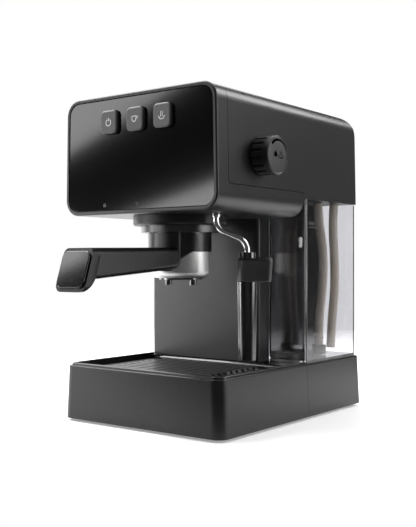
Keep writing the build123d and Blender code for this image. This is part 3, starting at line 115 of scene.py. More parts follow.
# %% [markdown]
# ## Finishes
# The body is charcoal plastic with a fine spark-eroded grain: it has no pattern to see, but its
# grain spreads the highlights. So the grain is a bump and a small change in roughness, a fraction
# of a millimetre across, and colour hardly varies. Metals get streaks along their turning or
# drawing direction. Every finish reads Object coordinates, so it stays put when a piece moves.

# %% Finish helpers
NOISE_LOW, NOISE_HIGH = 0.3, 0.7


def node_tree(name):
    """New material with a Principled shader; returns the material, its nodes, links and shader."""
    material = bpy.data.materials.new(name)
    material.use_nodes = True
    tree = material.node_tree
    shader = tree.nodes["Principled BSDF"]
    return material, tree.nodes, tree.links, shader


def object_noise(nodes, links, scale, detail, stretch=(1.0, 1.0, 1.0)):
    """Noise on Object coordinates, stretched by a Mapping node; scale is in cells per metre."""
    where = nodes.new("ShaderNodeTexCoord")
    mapping = nodes.new("ShaderNodeMapping")
    mapping.inputs["Scale"].default_value = stretch
    noise = nodes.new("ShaderNodeTexNoise")
    noise.inputs["Scale"].default_value = scale
    noise.inputs["Detail"].default_value = detail
    links.new(where.outputs["Object"], mapping.inputs["Vector"])
    links.new(mapping.outputs["Vector"], noise.inputs["Vector"])
    return noise


def spread(nodes, links, shader, source, low_value, high_value):
    """Roughness from low_value to high_value over a noise's middle band, by a Map Range node."""
    band = nodes.new("ShaderNodeMapRange")
    band.inputs["From Min"].default_value = NOISE_LOW
    band.inputs["From Max"].default_value = NOISE_HIGH
    band.inputs["To Min"].default_value = low_value
    band.inputs["To Max"].default_value = high_value
    links.new(source, band.inputs["Value"])
    links.new(band.outputs["Result"], shader.inputs["Roughness"])


def tint(nodes, links, shader, source, dark, light):
    """Base colour between two near colours over a noise's middle band, by a colour ramp."""
    ramp = nodes.new("ShaderNodeValToRGB")
    first, last = ramp.color_ramp.elements
    first.position, first.color = NOISE_LOW, (*dark, 1.0)
    last.position, last.color = NOISE_HIGH, (*light, 1.0)
    links.new(source, ramp.inputs["Fac"])
    links.new(ramp.outputs["Color"], shader.inputs["Base Color"])


def grain(nodes, links, shader, source, distance, strength):
    """Bump of a noise into the shader's normal; distance is the height in metres."""
    bump = nodes.new("ShaderNodeBump")
    bump.inputs["Distance"].default_value = distance
    bump.inputs["Strength"].default_value = strength
    links.new(source, bump.inputs["Height"])
    links.new(bump.outputs["Normal"], shader.inputs["Normal"])


def shade(colour, factor):
    """Colour made lighter or darker."""
    return tuple(channel * factor for channel in colour)


def moulded_plastic(name, colour, roughness, grain_scale, grain_height, gleam=0.5):
    """Moulded plastic: fine spark grain as bump and roughness; gleam is the strength of reflections."""
    material, nodes, links, shader = node_tree(name)
    fine = object_noise(nodes, links, grain_scale, 2.0).outputs["Fac"]
    broad = object_noise(nodes, links, 18.0, 3.0).outputs["Fac"]
    tint(nodes, links, shader, broad, shade(colour, 0.93), shade(colour, 1.07))
    spread(nodes, links, shader, fine, roughness * 0.9, roughness * 1.12)
    shader.inputs["IOR"].default_value = 1.49
    shader.inputs["Specular IOR Level"].default_value = gleam
    grain(nodes, links, shader, fine, grain_height, 0.6)
    return material


def polished_plastic(name, colour, roughness):
    """Polished plastic: faint wide ripple of the moulding and hair-fine dust in the roughness."""
    material, nodes, links, shader = node_tree(name)
    ripple = object_noise(nodes, links, 30.0, 1.0).outputs["Fac"]
    dust = object_noise(nodes, links, 900.0, 2.0).outputs["Fac"]
    tint(nodes, links, shader, ripple, shade(colour, 0.9), shade(colour, 1.1))
    spread(nodes, links, shader, dust, roughness * 0.85, roughness * 1.2)
    shader.inputs["IOR"].default_value = 1.5
    grain(nodes, links, shader, ripple, 0.00004, 0.25)
    return material


def streaked_metal(name, colour, roughness, stretch, scale=260.0, depth=0.00002):
    """Turned or drawn metal: noise stretched along one axis streaks tone, roughness and bump."""
    material, nodes, links, shader = node_tree(name)
    streak = object_noise(nodes, links, scale, 4.0, stretch).outputs["Fac"]
    tint(nodes, links, shader, streak, shade(colour, 0.9), shade(colour, 1.06))
    spread(nodes, links, shader, streak, roughness * 0.75, roughness * 1.3)
    shader.inputs["Metallic"].default_value = 1.0
    grain(nodes, links, shader, streak, depth, 0.35)
    return material


def soft_rubber(name, colour, roughness):
    """Matt rubber with a fine skin and a little bloom in its roughness."""
    material, nodes, links, shader = node_tree(name)
    skin = object_noise(nodes, links, 1400.0, 3.0).outputs["Fac"]
    bloom = object_noise(nodes, links, 60.0, 3.0).outputs["Fac"]
    tint(nodes, links, shader, bloom, shade(colour, 0.9), shade(colour, 1.12))
    spread(nodes, links, shader, bloom, roughness * 0.92, roughness * 1.08)
    grain(nodes, links, shader, skin, 0.00005, 0.5)
    return material


def clear_plastic(name, colour, roughness):
    """Clear moulded plastic: light passes, tinted a little, through a faint ripple of the mould."""
    material, nodes, links, shader = node_tree(name)
    ripple = object_noise(nodes, links, 24.0, 1.0).outputs["Fac"]
    tint(nodes, links, shader, ripple, shade(colour, 0.97), colour)
    spread(nodes, links, shader, ripple, roughness * 0.7, roughness * 1.3)
    shader.inputs["Transmission Weight"].default_value = 1.0
    shader.inputs["IOR"].default_value = 1.49
    grain(nodes, links, shader, ripple, 0.0001, 0.12)
    return material


# %% [markdown]
# ## The palette
# Finishes are named for the pieces they are used on. The real machine's plastics are all nearly
# black, and the eye tells them apart by how sharp and how strong their reflections are. So the
# base reflects less than the body, the rubber is dull, and only the fascia and the handle's cap
# are polished to a mirror.

# %% Palette
CHARCOAL = (0.012, 0.012, 0.0123)
charcoal = moulded_plastic("charcoal_plastic", CHARCOAL, 0.34, 1500.0, 0.00002)
base_charcoal = moulded_plastic("base_charcoal", shade(CHARCOAL, 0.9), 0.25, 1500.0, 0.00001, 0.32)
under = moulded_plastic("under_plastic", (0.012, 0.012, 0.0125), 0.5, 1200.0, 0.00004)
fascia_gloss = polished_plastic("fascia_gloss", (0.0012, 0.0012, 0.0013), 0.09)
button_satin = moulded_plastic("button_satin", (0.07, 0.07, 0.0715), 0.38, 1800.0, 0.00001)
knob_satin = moulded_plastic("knob_satin", (0.026, 0.026, 0.0263), 0.40, 1500.0, 0.00003)
bead_satin = moulded_plastic("bead_satin", (0.020, 0.020, 0.0205), 0.24, 1500.0, 0.00001)
inlay_satin = moulded_plastic("inlay_satin", (0.029, 0.029, 0.0295), 0.50, 1800.0, 0.00002)
handle_satin = moulded_plastic("handle_satin", (0.006, 0.006, 0.0062), 0.34, 1500.0, 0.00002)
cap_gloss = polished_plastic("cap_gloss", (0.004, 0.004, 0.0042), 0.09)
sleeve_gloss = moulded_plastic("sleeve_gloss", (0.007, 0.007, 0.0073), 0.28, 1500.0, 0.00001)
grid_satin = moulded_plastic("grid_satin", (0.022, 0.022, 0.0225), 0.38, 1500.0, 0.00002)
rubber = soft_rubber("grip_rubber", (0.026, 0.026, 0.027), 0.6)
thumb_rubber = soft_rubber("thumb_rubber", (0.028, 0.028, 0.029), 0.36)
satin_steel = streaked_metal("satin_steel", (0.66, 0.655, 0.65), 0.42, (1.0, 1.0, 9.0), 900.0, 0.000004)
plate_steel = streaked_metal("plate_steel", (0.26, 0.26, 0.263), 0.34, (1.0, 20.0, 1.0))
flange_dark = moulded_plastic("flange_dark", (0.005, 0.005, 0.0052), 0.44, 1500.0, 0.00002)
group_metal = streaked_metal("group_metal", (0.10, 0.10, 0.102), 0.36, (1.0, 1.0, 9.0), 900.0, 0.000004)
chrome = streaked_metal("bright_chrome", (0.74, 0.74, 0.75), 0.17, (1.0, 1.0, 0.3), 120.0, 0.000004)
dark_chrome = streaked_metal("dark_chrome", (0.115, 0.115, 0.117), 0.20, (9.0, 9.0, 0.6), 60.0, 0.000004)
zinc = streaked_metal("zinc_screws", (0.45, 0.45, 0.46), 0.35, (1.0, 1.0, 1.0))
cast_metal = streaked_metal("boiler_casting", (0.55, 0.55, 0.56), 0.5, (1.0, 1.0, 1.0), 400.0, 0.00006)
brass = streaked_metal("turned_brass", (0.60, 0.44, 0.18), 0.3, (14.0, 1.0, 1.0))
pale_plastic = moulded_plastic("pump_plastic", (0.60, 0.59, 0.55), 0.45, 900.0, 0.00003)
board_green = moulded_plastic("board_green", (0.03, 0.14, 0.06), 0.35, 300.0, 0.00002)
tank_clear = clear_plastic("tank_clear", (0.90, 0.90, 0.925), 0.03)
print("finishes", len(bpy.data.materials))

# %% [markdown]
# ## Finishes on the solids
# Each solid takes one finish. Solids that a new piece replaces further down need none here.

# %% Solids
FINISHES = {
    charcoal: ["column_shell", "column_back", "front_frame", "top_cover"],
    base_charcoal: ["base_pan", "drip_tray"],
    under: ["bottom_plate", "tank_deck", "cord_gland", "intake_filter"],
    fascia_gloss: ["fascia"],
    knob_satin: ["button_switches", "thermostats"],
    handle_satin: ["portafilter_handle"],
    cap_gloss: ["handle_cap"],
    sleeve_gloss: ["portafilter_sleeve"],
    grid_satin: ["drip_grid"],
    rubber: ["feet", "group_gasket", "pump_mount", "hose_bushes"],
    satin_steel: ["portafilter_cup", "filter_basket", "shower_screen"],
    plate_steel: ["cup_plate"],
    flange_dark: ["group_flange"],
    group_metal: ["group_collar"],
    chrome: ["steam_pipe", "wand_swivel", "wand_tip"],
    dark_chrome: ["froth_sleeve", "wand_collar", "portafilter_spouts"],
    zinc: ["cover_screws", "boiler_bolts", "shower_screw", "handle_rod", "pump_coil"],
    cast_metal: ["boiler_lower", "boiler_upper", "pump_feed_pipe", "boiler_feed_pipe", "return_pipe",
                 "steam_feed_pipe"],
    brass: ["steam_valve", "valve_spindle", "wand_socket"],
    pale_plastic: ["pump_body"],
    board_green: ["control_board"],
    tank_clear: ["water_tank"],
}
for finish, nodes_of_finish in FINISHES.items():
    for node in nodes_of_finish:
        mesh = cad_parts[node].data
        mesh.materials.clear()
        mesh.materials.append(finish)
print("finishes on solids", len(FINISHES))

# %% [markdown]
# ## Surfaces from arrays
# Every new piece is a grid: one parameter runs along the piece, the other round or across it.
# numpy works out all the points at once, and the faces join neighbouring points of the grid.
# A ring closes on itself, and a pole is a ring drawn together to one point, so that its faces
# become triangles and no hole is left.

# %% Mesh helpers


def grid_faces(rows, columns, closed):
    """Quads of a rows by columns grid, row by row; closed joins the last column to the first."""
    across = columns if closed else columns - 1
    row, column = np.meshgrid(np.arange(rows - 1), np.arange(across), indexing="ij")
    right = (column + 1) % columns
    quads = np.stack([row * columns + column, row * columns + right,
                      (row + 1) * columns + right, (row + 1) * columns + column], axis=-1)
    return quads.reshape(-1, 4)


def piece_from(name, points, faces, finish, smooth=True):
    """Mesh object from an array of points and an array of faces, merged at its seams and poles."""
    mesh = bpy.data.meshes.new(name)
    mesh.from_pydata(np.asarray(points, float).reshape(-1, 3).tolist(), [], np.asarray(faces).tolist())
    mesh.materials.append(finish)
    work = bmesh.new()
    work.from_mesh(mesh)
    bmesh.ops.remove_doubles(work, verts=work.verts, dist=1e-6)
    bmesh.ops.dissolve_degenerate(work, edges=work.edges, dist=1e-7)
    bmesh.ops.recalc_face_normals(work, faces=work.faces)
    work.to_mesh(mesh)
    work.free()
    mesh.polygons.foreach_set("use_smooth", np.full(len(mesh.polygons), smooth))
    piece = bpy.data.objects.new(name, mesh)
    bpy.context.scene.collection.objects.link(piece)
    return piece


def sharpen(piece, degrees):
    """Shade smooth, but keep edges sharper than the given angle crisp."""
    piece.data.set_sharp_from_angle(angle=math.radians(degrees))
    return piece


def turned(name, profile, centre, finish, segments=96, crisp=35.0):
    """Turned piece: a profile of (radius, reach) rows carried round the X axis through centre."""
    profile = np.asarray(profile, float)
    angle = np.linspace(0, 2 * np.pi, segments, endpoint=False)
    radius, reach = profile[:, :1], profile[:, 1:]
    across, upward = radius * np.cos(angle), radius * np.sin(angle)
    points = np.stack([np.broadcast_to(reach, across.shape), across, upward], axis=-1) + centre
    piece = piece_from(name, points, grid_faces(len(profile), segments, True), finish)
    return sharpen(piece, crisp)


def arc(centre, radius, start, end, count):
    """Points of a flat arc, from start to end degrees."""
    angle = np.radians(np.linspace(start, end, count))
    return np.stack([centre[0] + radius * np.cos(angle), centre[1] + radius * np.sin(angle)], axis=-1)


def rounded_outline(width, height, corner, count=8):
    """Closed outline of a rectangle with round corners, count points to each, from the lower right."""
    inner_x, inner_y = width / 2 - corner, height / 2 - corner
    corners = [((inner_x, -inner_y), -90), ((inner_x, inner_y), 0), ((-inner_x, inner_y), 90),
               ((-inner_x, -inner_y), 180)]
    return np.vstack([arc(at, corner, start, start + 90, count) for at, start in corners])


# %% [markdown]
# ## Hoses in the tank
# Two milky silicone hoses hang from the deck into the tank: one draws water, one lets the pump's
# relief run back. They are soft, so each is one smooth spline. Its control points repeat the route
# of the solids, given as drops from the deck in millimetres.

# %% Hoses
HOSE_DIAMETER = 9 * MM
DECK_LOW = float(low("tank_deck")[2])
INTAKE_AT = np.array([*(low("intake_hose")[:2] + HOSE_DIAMETER / 2), DECK_LOW])
INTAKE_DROPS = [(0, 0, 0), (1.5, 0, 20), (6.4, 0.3, 50), (5.2, 0.8, 84), (0.2, 0.4, 121),
                (1.2, 0.4, 143)]
RETURN_AT = np.array([*(low("return_hose")[:2] + HOSE_DIAMETER / 2), DECK_LOW])
RETURN_DROPS = [(0, 0, 0), (-1.6, 0, 20), (0.4, 0.5, 54), (0.8, 0.8, 86), (-2.8, 0.2, 124),
                (-3.8, 0.3, 147)]


def silicone(name, dark, light, clearness):
    """Silicone: light goes through it and is tinted, with a dusty bloom in tone and roughness."""
    material, nodes, links, shader = node_tree(name)
    bloom = object_noise(nodes, links, 140.0, 3.0).outputs["Fac"]
    tint(nodes, links, shader, bloom, dark, light)
    spread(nodes, links, shader, bloom, 0.28, 0.33)
    shader.inputs["Transmission Weight"].default_value = clearness
    shader.inputs["IOR"].default_value = 1.41
    return material


def hanging_hose(name, start, drops, finish):
    """One NURBS spline whose control points fall from the deck by the given drops in millimetres."""
    shift = np.array(drops, float) * MM * np.array([1, 1, -1])
    points = start + shift
    curve = bpy.data.curves.new(name, "CURVE")
    curve.dimensions = "3D"
    spline = curve.splines.new("NURBS")
    spline.points.add(len(points) - 1)
    spline.points.foreach_set("co", np.column_stack([points, np.ones(len(points))]).ravel())
    spline.order_u = 3
    spline.use_endpoint_u = True
    spline.resolution_u = 12
    curve.bevel_depth = HOSE_DIAMETER / 2
    curve.bevel_resolution = 6
    curve.use_fill_caps = True
    curve.materials.append(finish)
    hose = bpy.data.objects.new(name, curve)
    bpy.context.scene.collection.objects.link(hose)
    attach(hose, "machine")
    return hose, points


hose_silicone = silicone("hose_silicone", (0.80, 0.72, 0.62), (0.86, 0.78, 0.68), 0.2)
intake, intake_points = hanging_hose("intake_line", INTAKE_AT, INTAKE_DROPS, hose_silicone)
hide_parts("intake_hose")
backflow, backflow_points = hanging_hose("return_line", RETURN_AT, RETURN_DROPS, hose_silicone)
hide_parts("return_hose")
print("hoses from", np.round(INTAKE_AT, 4), "and", np.round(RETURN_AT, 4))

# %% [markdown]
# ## Printed signs
# A sign is a set of strokes. Each stroke is a bar along a flat line: at every point of the line
# the two edges lie half a width to either side, across the heading. Letting the width change
# along the line gives a drop or a crescent from the same formula. The bars stand a few hundredths
# of a millimetre proud, as a print does.

# %% Sign helpers
PRINT_HEIGHT, PRINT_SUNK = 0.05 * MM, 0.4
X_WAY, Y_WAY, Z_WAY = np.eye(3)


def stroke(line, width):
    """Bar along a flat line; half the width to either side of each point, from height 0 to 1."""
    line = np.asarray(line, float)
    half_width = np.broadcast_to(np.asarray(width, float), len(line))[:, None] / 2
    heading = np.gradient(line, axis=0)
    heading /= np.linalg.norm(heading, axis=1, keepdims=True)
    side = np.stack([-heading[:, 1], heading[:, 0]], axis=-1) * half_width
    corners = [(line + side, 0), (line - side, 0), (line - side, 1), (line + side, 1)]
    rows = [np.column_stack([edge, np.full(len(line), level)]) for edge, level in corners]
    points = np.stack(rows, axis=1)
    last = 4 * (len(line) - 1)
    ends = [[0, 1, 2, 3], [last + 3, last + 2, last + 1, last]]
    return points.reshape(-1, 3), np.vstack([grid_faces(len(line), 4, True), ends])


def printed(name, strokes, at, right, up, finish):
    """Sign of several strokes in millimetres, on the plane through at that right and up span."""
    outward = np.cross(right, up)
    all_points, all_faces, count = [], [], 0
    for line, width in strokes:
        points, faces = stroke(line, width)
        place = points[:, :1] * MM * right + points[:, 1:2] * MM * up
        proud = (points[:, 2:] - PRINT_SUNK) * PRINT_HEIGHT * outward
        all_points.append(np.asarray(at) + place + proud)
        all_faces.append(faces + count)
        count += len(points)
    return piece_from(name, np.vstack(all_points), np.vstack(all_faces), finish, smooth=False)


def smooth_line(corners):
    """Rounded line: twice over, each corner is cut a quarter of the way along its two runs."""
    line = np.asarray(corners, float)
    for _ in range(2):
        near = line[:-1] * 0.75 + line[1:] * 0.25
        far = line[:-1] * 0.25 + line[1:] * 0.75
        cut = np.stack([near, far], axis=1).reshape(-1, 2)
        line = np.vstack([line[:1], cut, line[-1:]])
    return line


def ink(name, colour, roughness, gleam=0.5):
    """Printing ink: a little uneven in tone and gloss; gleam is the strength of its reflections."""
    material, nodes, links, shader = node_tree(name)
    blot = object_noise(nodes, links, 1600.0, 2.0).outputs["Fac"]
    tint(nodes, links, shader, blot, shade(colour, 0.92), shade(colour, 1.05))
    spread(nodes, links, shader, blot, roughness * 0.9, roughness * 1.1)
    shader.inputs["Specular IOR Level"].default_value = gleam
    return material


# %% Inks and signs
white_ink = ink("white_ink", (0.62, 0.62, 0.62), 0.45)
black_ink = ink("black_ink", (0.001, 0.001, 0.001), 0.75, 0.0)
grey_ink = ink("grey_ink", (0.035, 0.035, 0.035), 0.45)
pale_ink = ink("pale_ink", (0.15, 0.15, 0.16), 0.45)
POWER_SIGN = [(arc((0, -0.5), 2.9, 122, 418, 40), 0.8), ([(0, 0.6), (0, 2.0), (0, 3.8)], 0.8)]
CUP_SIGN = [
    (smooth_line([(-2.9, 2.1), (-2.8, 0.1), (-1.8, -2.5), (1.0, -2.5), (2.0, 0.1), (2.1, 2.1)]), 0.85),
    ([(-3.2, 2.1), (0, 2.1), (2.4, 2.1)], 0.85),
    (smooth_line([(2.1, 1.8), (3.9, 1.9), (3.6, 0.0), (1.8, -0.4)]), 0.7),
]
STEAM_SIGN = [
    (smooth_line([(-3.2, -0.5), (-2.6, -2.2), (-1.5, -3.3), (1.5, -3.3), (2.6, -2.2), (3.2, -0.5)]),
     0.85),
    (smooth_line([(-0.9, -1.4), (-1.2, 0.4), (-0.7, 1.6), (-1.0, 3.4)]), 0.6),
    (smooth_line([(0.9, -1.4), (0.6, 0.4), (1.1, 1.6), (0.8, 3.4)]), 0.6),
]
print("signs", len(POWER_SIGN), len(CUP_SIGN), len(STEAM_SIGN), "strokes")

# %% [markdown]
# ## Keys
# Each key is a rounded rectangle carried forward in a few steps: straight through the fascia, then
# a broad bevel that catches the light on its upper left, then a flat face. A step is an outline
# drawn in by some inset, at some distance behind the face.

# %% Keys
KEY_WIDTH, KEY_HEIGHT, KEY_CORNER = 19.5, 21.0, 4.5
KEY_STEPS = [(0.6, 6.4), (0.6, 1.0), (0.0, 0.5), (0.0, -0.45), (0.08, -0.55), (0.25, -0.62),
             (1.15, -1.16), (1.3, -1.19), (1.5, -1.2), (2.4, -1.2)]
KEY_PROUD = 1.2


def key(name, node, sign):
    """Key in place of a button's solid, riding the body of that name, with its sign on the face."""
    front = np.array([middle(node)[0], low(node)[1], middle(node)[2]])
    rings = []
    for inset, depth in KEY_STEPS:
        outline = rounded_outline(KEY_WIDTH - 2 * inset, KEY_HEIGHT - 2 * inset, KEY_CORNER - inset)
        rings.append(np.column_stack([outline[:, 0], np.full(len(outline), depth), outline[:, 1]]))
    rings.append(np.zeros_like(rings[-1]) - (0.0, KEY_PROUD, 0.0))
    points = front + np.array(rings) * MM
    piece = piece_from(name, points, grid_faces(len(rings), len(rings[0]), True), button_satin)
    sharpen(piece, 24.0)
    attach(piece, node)
    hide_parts(node)
    mark = printed(name + "_sign", sign, front - KEY_PROUD * MM * Y_WAY, X_WAY, Z_WAY, white_ink)
    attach(mark, node)


KEYS = {"power_button": POWER_SIGN, "coffee_button": CUP_SIGN, "steam_button": STEAM_SIGN}
for node, sign in KEYS.items():
    key(node.replace("_button", "_key"), node, sign)
print("keys", len(KEYS))

# %% [markdown]
# ## Steam knob
# The knob's skin is a grid of stations along its axis and angles round it. Radius is the plain
# radius minus a groove: a narrow bell in the angle, repeated sixteen times, that fades out two
# thirds of the way to the face. The face is a dull inlay inside a raised, smoother bead.

# %% Knob
KNOB_RADIUS, KNOB_LENGTH = 17.0, 17.2
GROOVES, GROOVE_DEPTH, GROOVE_SHARE, GROOVE_POINTS = 16, 1.3, 0.17, 16
GROOVE_END, GROOVE_FADE = 11.2, 1.6
KNOB_EDGE, KNOB_BACK_EDGE = 1.2, 0.5
FACE_RADIUS, FACE_BACK = 15.0, 0.7
INLAY_RADIUS, INLAY_EDGE, INLAY_BACK = 15.2, 15.1, 0.18
BEAD_RADIUS, BEAD_ROUND, BEAD_BACK = 16.5, 0.7, 0.5


def knob_skin():
    """Stations, angles and radii of the side: radius minus depth times a bell in angle times a fade."""
    side = np.concatenate([[0.0, 0.25], np.linspace(0.5, 8.5, 12), np.linspace(9, 13.2, 16),
                           np.linspace(14, 16.0, 4)])
    edge = arc((KNOB_LENGTH - KNOB_EDGE, KNOB_RADIUS - KNOB_EDGE), KNOB_EDGE, 90, 18, 7)
    along = np.concatenate([side, edge[:, 0]])
    radius = np.concatenate([np.full(len(side), KNOB_RADIUS), edge[:, 1]])
    radius[0] -= KNOB_BACK_EDGE
    angle = np.linspace(0, 2 * np.pi, GROOVES * GROOVE_POINTS, endpoint=False)
    turn = (angle * GROOVES / (2 * np.pi)) % 1 - 0.5
    bell = np.exp(-(turn / GROOVE_SHARE) ** 4)
    fade = np.clip((GROOVE_END + GROOVE_FADE / 2 - along) / GROOVE_FADE, 0, 1)
    fade = fade * fade * (3 - 2 * fade)
    reach = radius[:, None] - GROOVE_DEPTH * fade[:, None] * bell
    return along, angle, reach


along, angle, reach = knob_skin()
knob_base = np.array([low("steam_knob")[0], KNOB[1], KNOB[2]])
round_y, round_z = np.cos(angle), np.sin(angle)
stations = np.broadcast_to(along[:, None], reach.shape)
rings = np.stack([stations, reach * round_y, reach * round_z], axis=-1)
back_pole = np.zeros_like(rings[:1])
face_at = np.full(len(angle), KNOB_LENGTH - FACE_BACK)
face_ring = np.stack([face_at, FACE_RADIUS * round_y, FACE_RADIUS * round_z], axis=-1)
face_pole = np.broadcast_to([KNOB_LENGTH - FACE_BACK, 0.0, 0.0], face_ring.shape)
skin = np.vstack([back_pole, rings, face_ring[None], face_pole[None]]) * MM + knob_base
knob_body = piece_from("knob_body", skin, grid_faces(len(skin), len(angle), True), knob_satin)
sharpen(knob_body, 40.0)
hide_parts("steam_knob")
root, bead_foot = KNOB_LENGTH - KNOB_EDGE, KNOB_LENGTH - BEAD_BACK
bead_top = arc((BEAD_RADIUS - BEAD_ROUND, bead_foot), BEAD_ROUND, 180, 0, 13)
bead = [(INLAY_EDGE, root), (INLAY_EDGE, bead_foot), *bead_top, (BEAD_RADIUS, root)]
knob_bead = turned("knob_bead", np.array(bead) * MM, knob_base, bead_satin)
inlay_face = KNOB_LENGTH - INLAY_BACK
inlay = [(0.0, inlay_face), (6.0, inlay_face), (INLAY_RADIUS - 0.5, KNOB_LENGTH - 0.2),
         (INLAY_EDGE, KNOB_LENGTH - 0.4), (INLAY_EDGE, root), (0.0, root)]
knob_inlay = turned("knob_inlay", np.array(inlay) * MM, knob_base, inlay_satin)
for piece in (knob_body, knob_bead, knob_inlay):
    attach(piece, "knob")
print("knob grid", rings.shape[:2])

# %% [markdown]
# ## Marks on the knob
# A crescent that narrows shows which way the valve opens, and below it are a drop and the steam
# sign. All are strokes: the crescent's width falls evenly along its arc, and the drop's is that of
# an ellipse, made narrower towards its top.

# %% Knob marks
CRESCENT_RADIUS = 14.2
crescent_turn = np.radians(np.linspace(136, 17, 40))
crescent_width = np.linspace(3.0, 0.5, 40)
crescent_way = np.stack([np.cos(crescent_turn), np.sin(crescent_turn)], axis=-1)
crescent = (CRESCENT_RADIUS - crescent_width / 2)[:, None] * crescent_way
DROP_PLACE, DROP_TOP, DROP_LENGTH, DROP_WIDTH = -3.4, 3.6, 5.4, 9.6
drop_share = np.linspace(0.02, 0.98, 20)
drop_line = np.stack([np.full(20, DROP_PLACE), DROP_TOP - DROP_LENGTH * drop_share], axis=-1)
drop_width = DROP_WIDTH * np.sqrt(drop_share * (1 - drop_share)) * (0.45 + 1.1 * drop_share)
MARK_STRETCH, MARK_SHIFT, MARK_BOLD = (1.25, 0.85), (4.9, 0.6), 1.15
STEAM_MARK = [(np.asarray(line) * MARK_STRETCH + MARK_SHIFT, width * MARK_BOLD)
              for line, width in STEAM_SIGN]
marks_at = knob_base + inlay_face * MM * X_WAY
knob_marks = printed("knob_marks", [(crescent, crescent_width), (drop_line, drop_width)], marks_at,
                     Y_WAY, Z_WAY, black_ink)
knob_steam = printed("knob_steam", STEAM_MARK, marks_at, Y_WAY, Z_WAY, black_ink)
for piece in (knob_marks, knob_steam):
    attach(piece, "knob")
print("knob marks", 2 + len(STEAM_MARK), "strokes")

# %% [markdown]
# ## Marks on the fascia
# Two faint signs low on the fascia show where the filter holder locks.

# %% Fascia marks
ARROW_SIGN = [([(-1.6, 1.5), (0, -1.5)], 0.6), ([(0, -1.5), (1.6, 1.5)], 0.6)]
LOCK_SIGN = [([(0, -2.0), (0, -0.9), (0, 0.2)], 3.4), (arc((0, 0.2), 1.2, 0, 180, 12), 0.5)]
fascia_front = float(low("fascia")[1])
fascia_middle = float(middle("fascia")[0])
MARK_HEIGHT = float(low("front_frame")[2]) + 9 * MM
LOCK_MARKS = {"arrow_mark": (ARROW_SIGN, 0.0), "lock_mark": (LOCK_SIGN, -39.0)}
for mark_name, (sign, place) in LOCK_MARKS.items():
    spot = np.array([fascia_middle + place * MM, fascia_front, MARK_HEIGHT])
    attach(printed(mark_name, sign, spot, X_WAY, Z_WAY, grey_ink), "machine")
print("fascia marks", len(LOCK_MARKS))

# %% [markdown]
# ## Marks on the tank
# The tank has its upper and lower water marks: a word from Blender's own letters over a short bar.
# Each row gives the word, its start from the base's rear edge, and the heights of its letters and
# bar, in metres.

# %% Water marks


def word(name, text, at, size, finish):
    """Word on the tank's right side, made from Blender's own letters as a thin solid."""
    curve = bpy.data.curves.new(name, "FONT")
    curve.body = text
    curve.size = size
    curve.extrude = PRINT_HEIGHT / 2
    curve.align_x = "LEFT"
    draft = bpy.data.objects.new(name + "_draft", curve)
    bpy.context.scene.collection.objects.link(draft)
    bpy.context.view_layer.update()
    mesh = bpy.data.meshes.new_from_object(draft)
    bpy.data.objects.remove(draft)
    flat = np.zeros(len(mesh.vertices) * 3)
    mesh.vertices.foreach_get("co", flat)
    flat = flat.reshape(-1, 3)
    upright = np.stack([flat[:, 2], flat[:, 0], flat[:, 1]], axis=-1) + np.asarray(at)
    mesh.vertices.foreach_set("co", upright.ravel())
    mesh.materials.clear()
    mesh.materials.append(finish)
    mesh.name = name
    piece = bpy.data.objects.new(name, mesh)
    bpy.context.scene.collection.objects.link(piece)
    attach(piece, "tank")


TANK_SIDE = float(high("water_tank")[0])
LETTER_SIZE = 5.0 * MM
BAR_STROKE = ([(0, 0), (9, 0), (19, 0)], 0.6)
WATER_MARKS = {"max": ("MAX", -0.0973, 0.1827, 0.1806), "min": ("MIN", -0.0879, 0.0763, 0.0742)}
for mark_name, (text, back_off, letters, bar) in WATER_MARKS.items():
    start = REAR_MIDDLE[1] + back_off
    word(mark_name + "_word", text, (TANK_SIDE, start, letters), LETTER_SIZE, pale_ink)
    bar_at = (TANK_SIDE, start, bar)
    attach(printed(mark_name + "_bar", [BAR_STROKE], bar_at, Y_WAY, Z_WAY, pale_ink), "tank")
print("water marks", len(WATER_MARKS))

# %% [markdown]
# ## Rim of the drip tray
# The tray's upper edge is a raised rim with a flat top, rounded towards the outside. It is one
# section carried along the tray's left side, round its two front corners and back along its right
# side: at every point of the path the section stands across the heading. The rim stops short of
# the column on the left, and of the tray's end on the right.

# %% Tray rim
RIM_SECTION = [(1.2, -0.3), (1.2, 1.9), (1.0, 2.15), (0.7, 2.2), (-0.7, 2.2), (-1.4, 2.05), (-2.0, 1.5),
               (-2.3, 0.7), (-2.35, -0.3)]
RIM_INSET, RIM_CORNER = 3.7, 7.0
TRAY_FLARE = 2.0
COLUMN_GAP = 0.4


def carried(name, path, section, finish, crisp):
    """Section of (inward, upward) rows carried along a flat path, across its heading; ends closed."""
    path = np.asarray(path, float)
    heading = np.gradient(path, axis=0)
    heading /= np.linalg.norm(heading, axis=1, keepdims=True)
    inward = np.stack([-heading[:, 1], heading[:, 0], np.zeros(len(path))], axis=-1)
    section = np.asarray(section, float) * MM
    points = path[:, None] + inward[:, None] * section[:, :1] + Z_WAY * section[:, 1:]
    ends = [np.broadcast_to(points[at].mean(axis=0), points[at].shape) for at in (0, -1)]
    points = np.concatenate([ends[0][None], points, ends[1][None]])
    piece = piece_from(name, points, grid_faces(len(points), len(section), True), finish)
    return sharpen(piece, crisp)


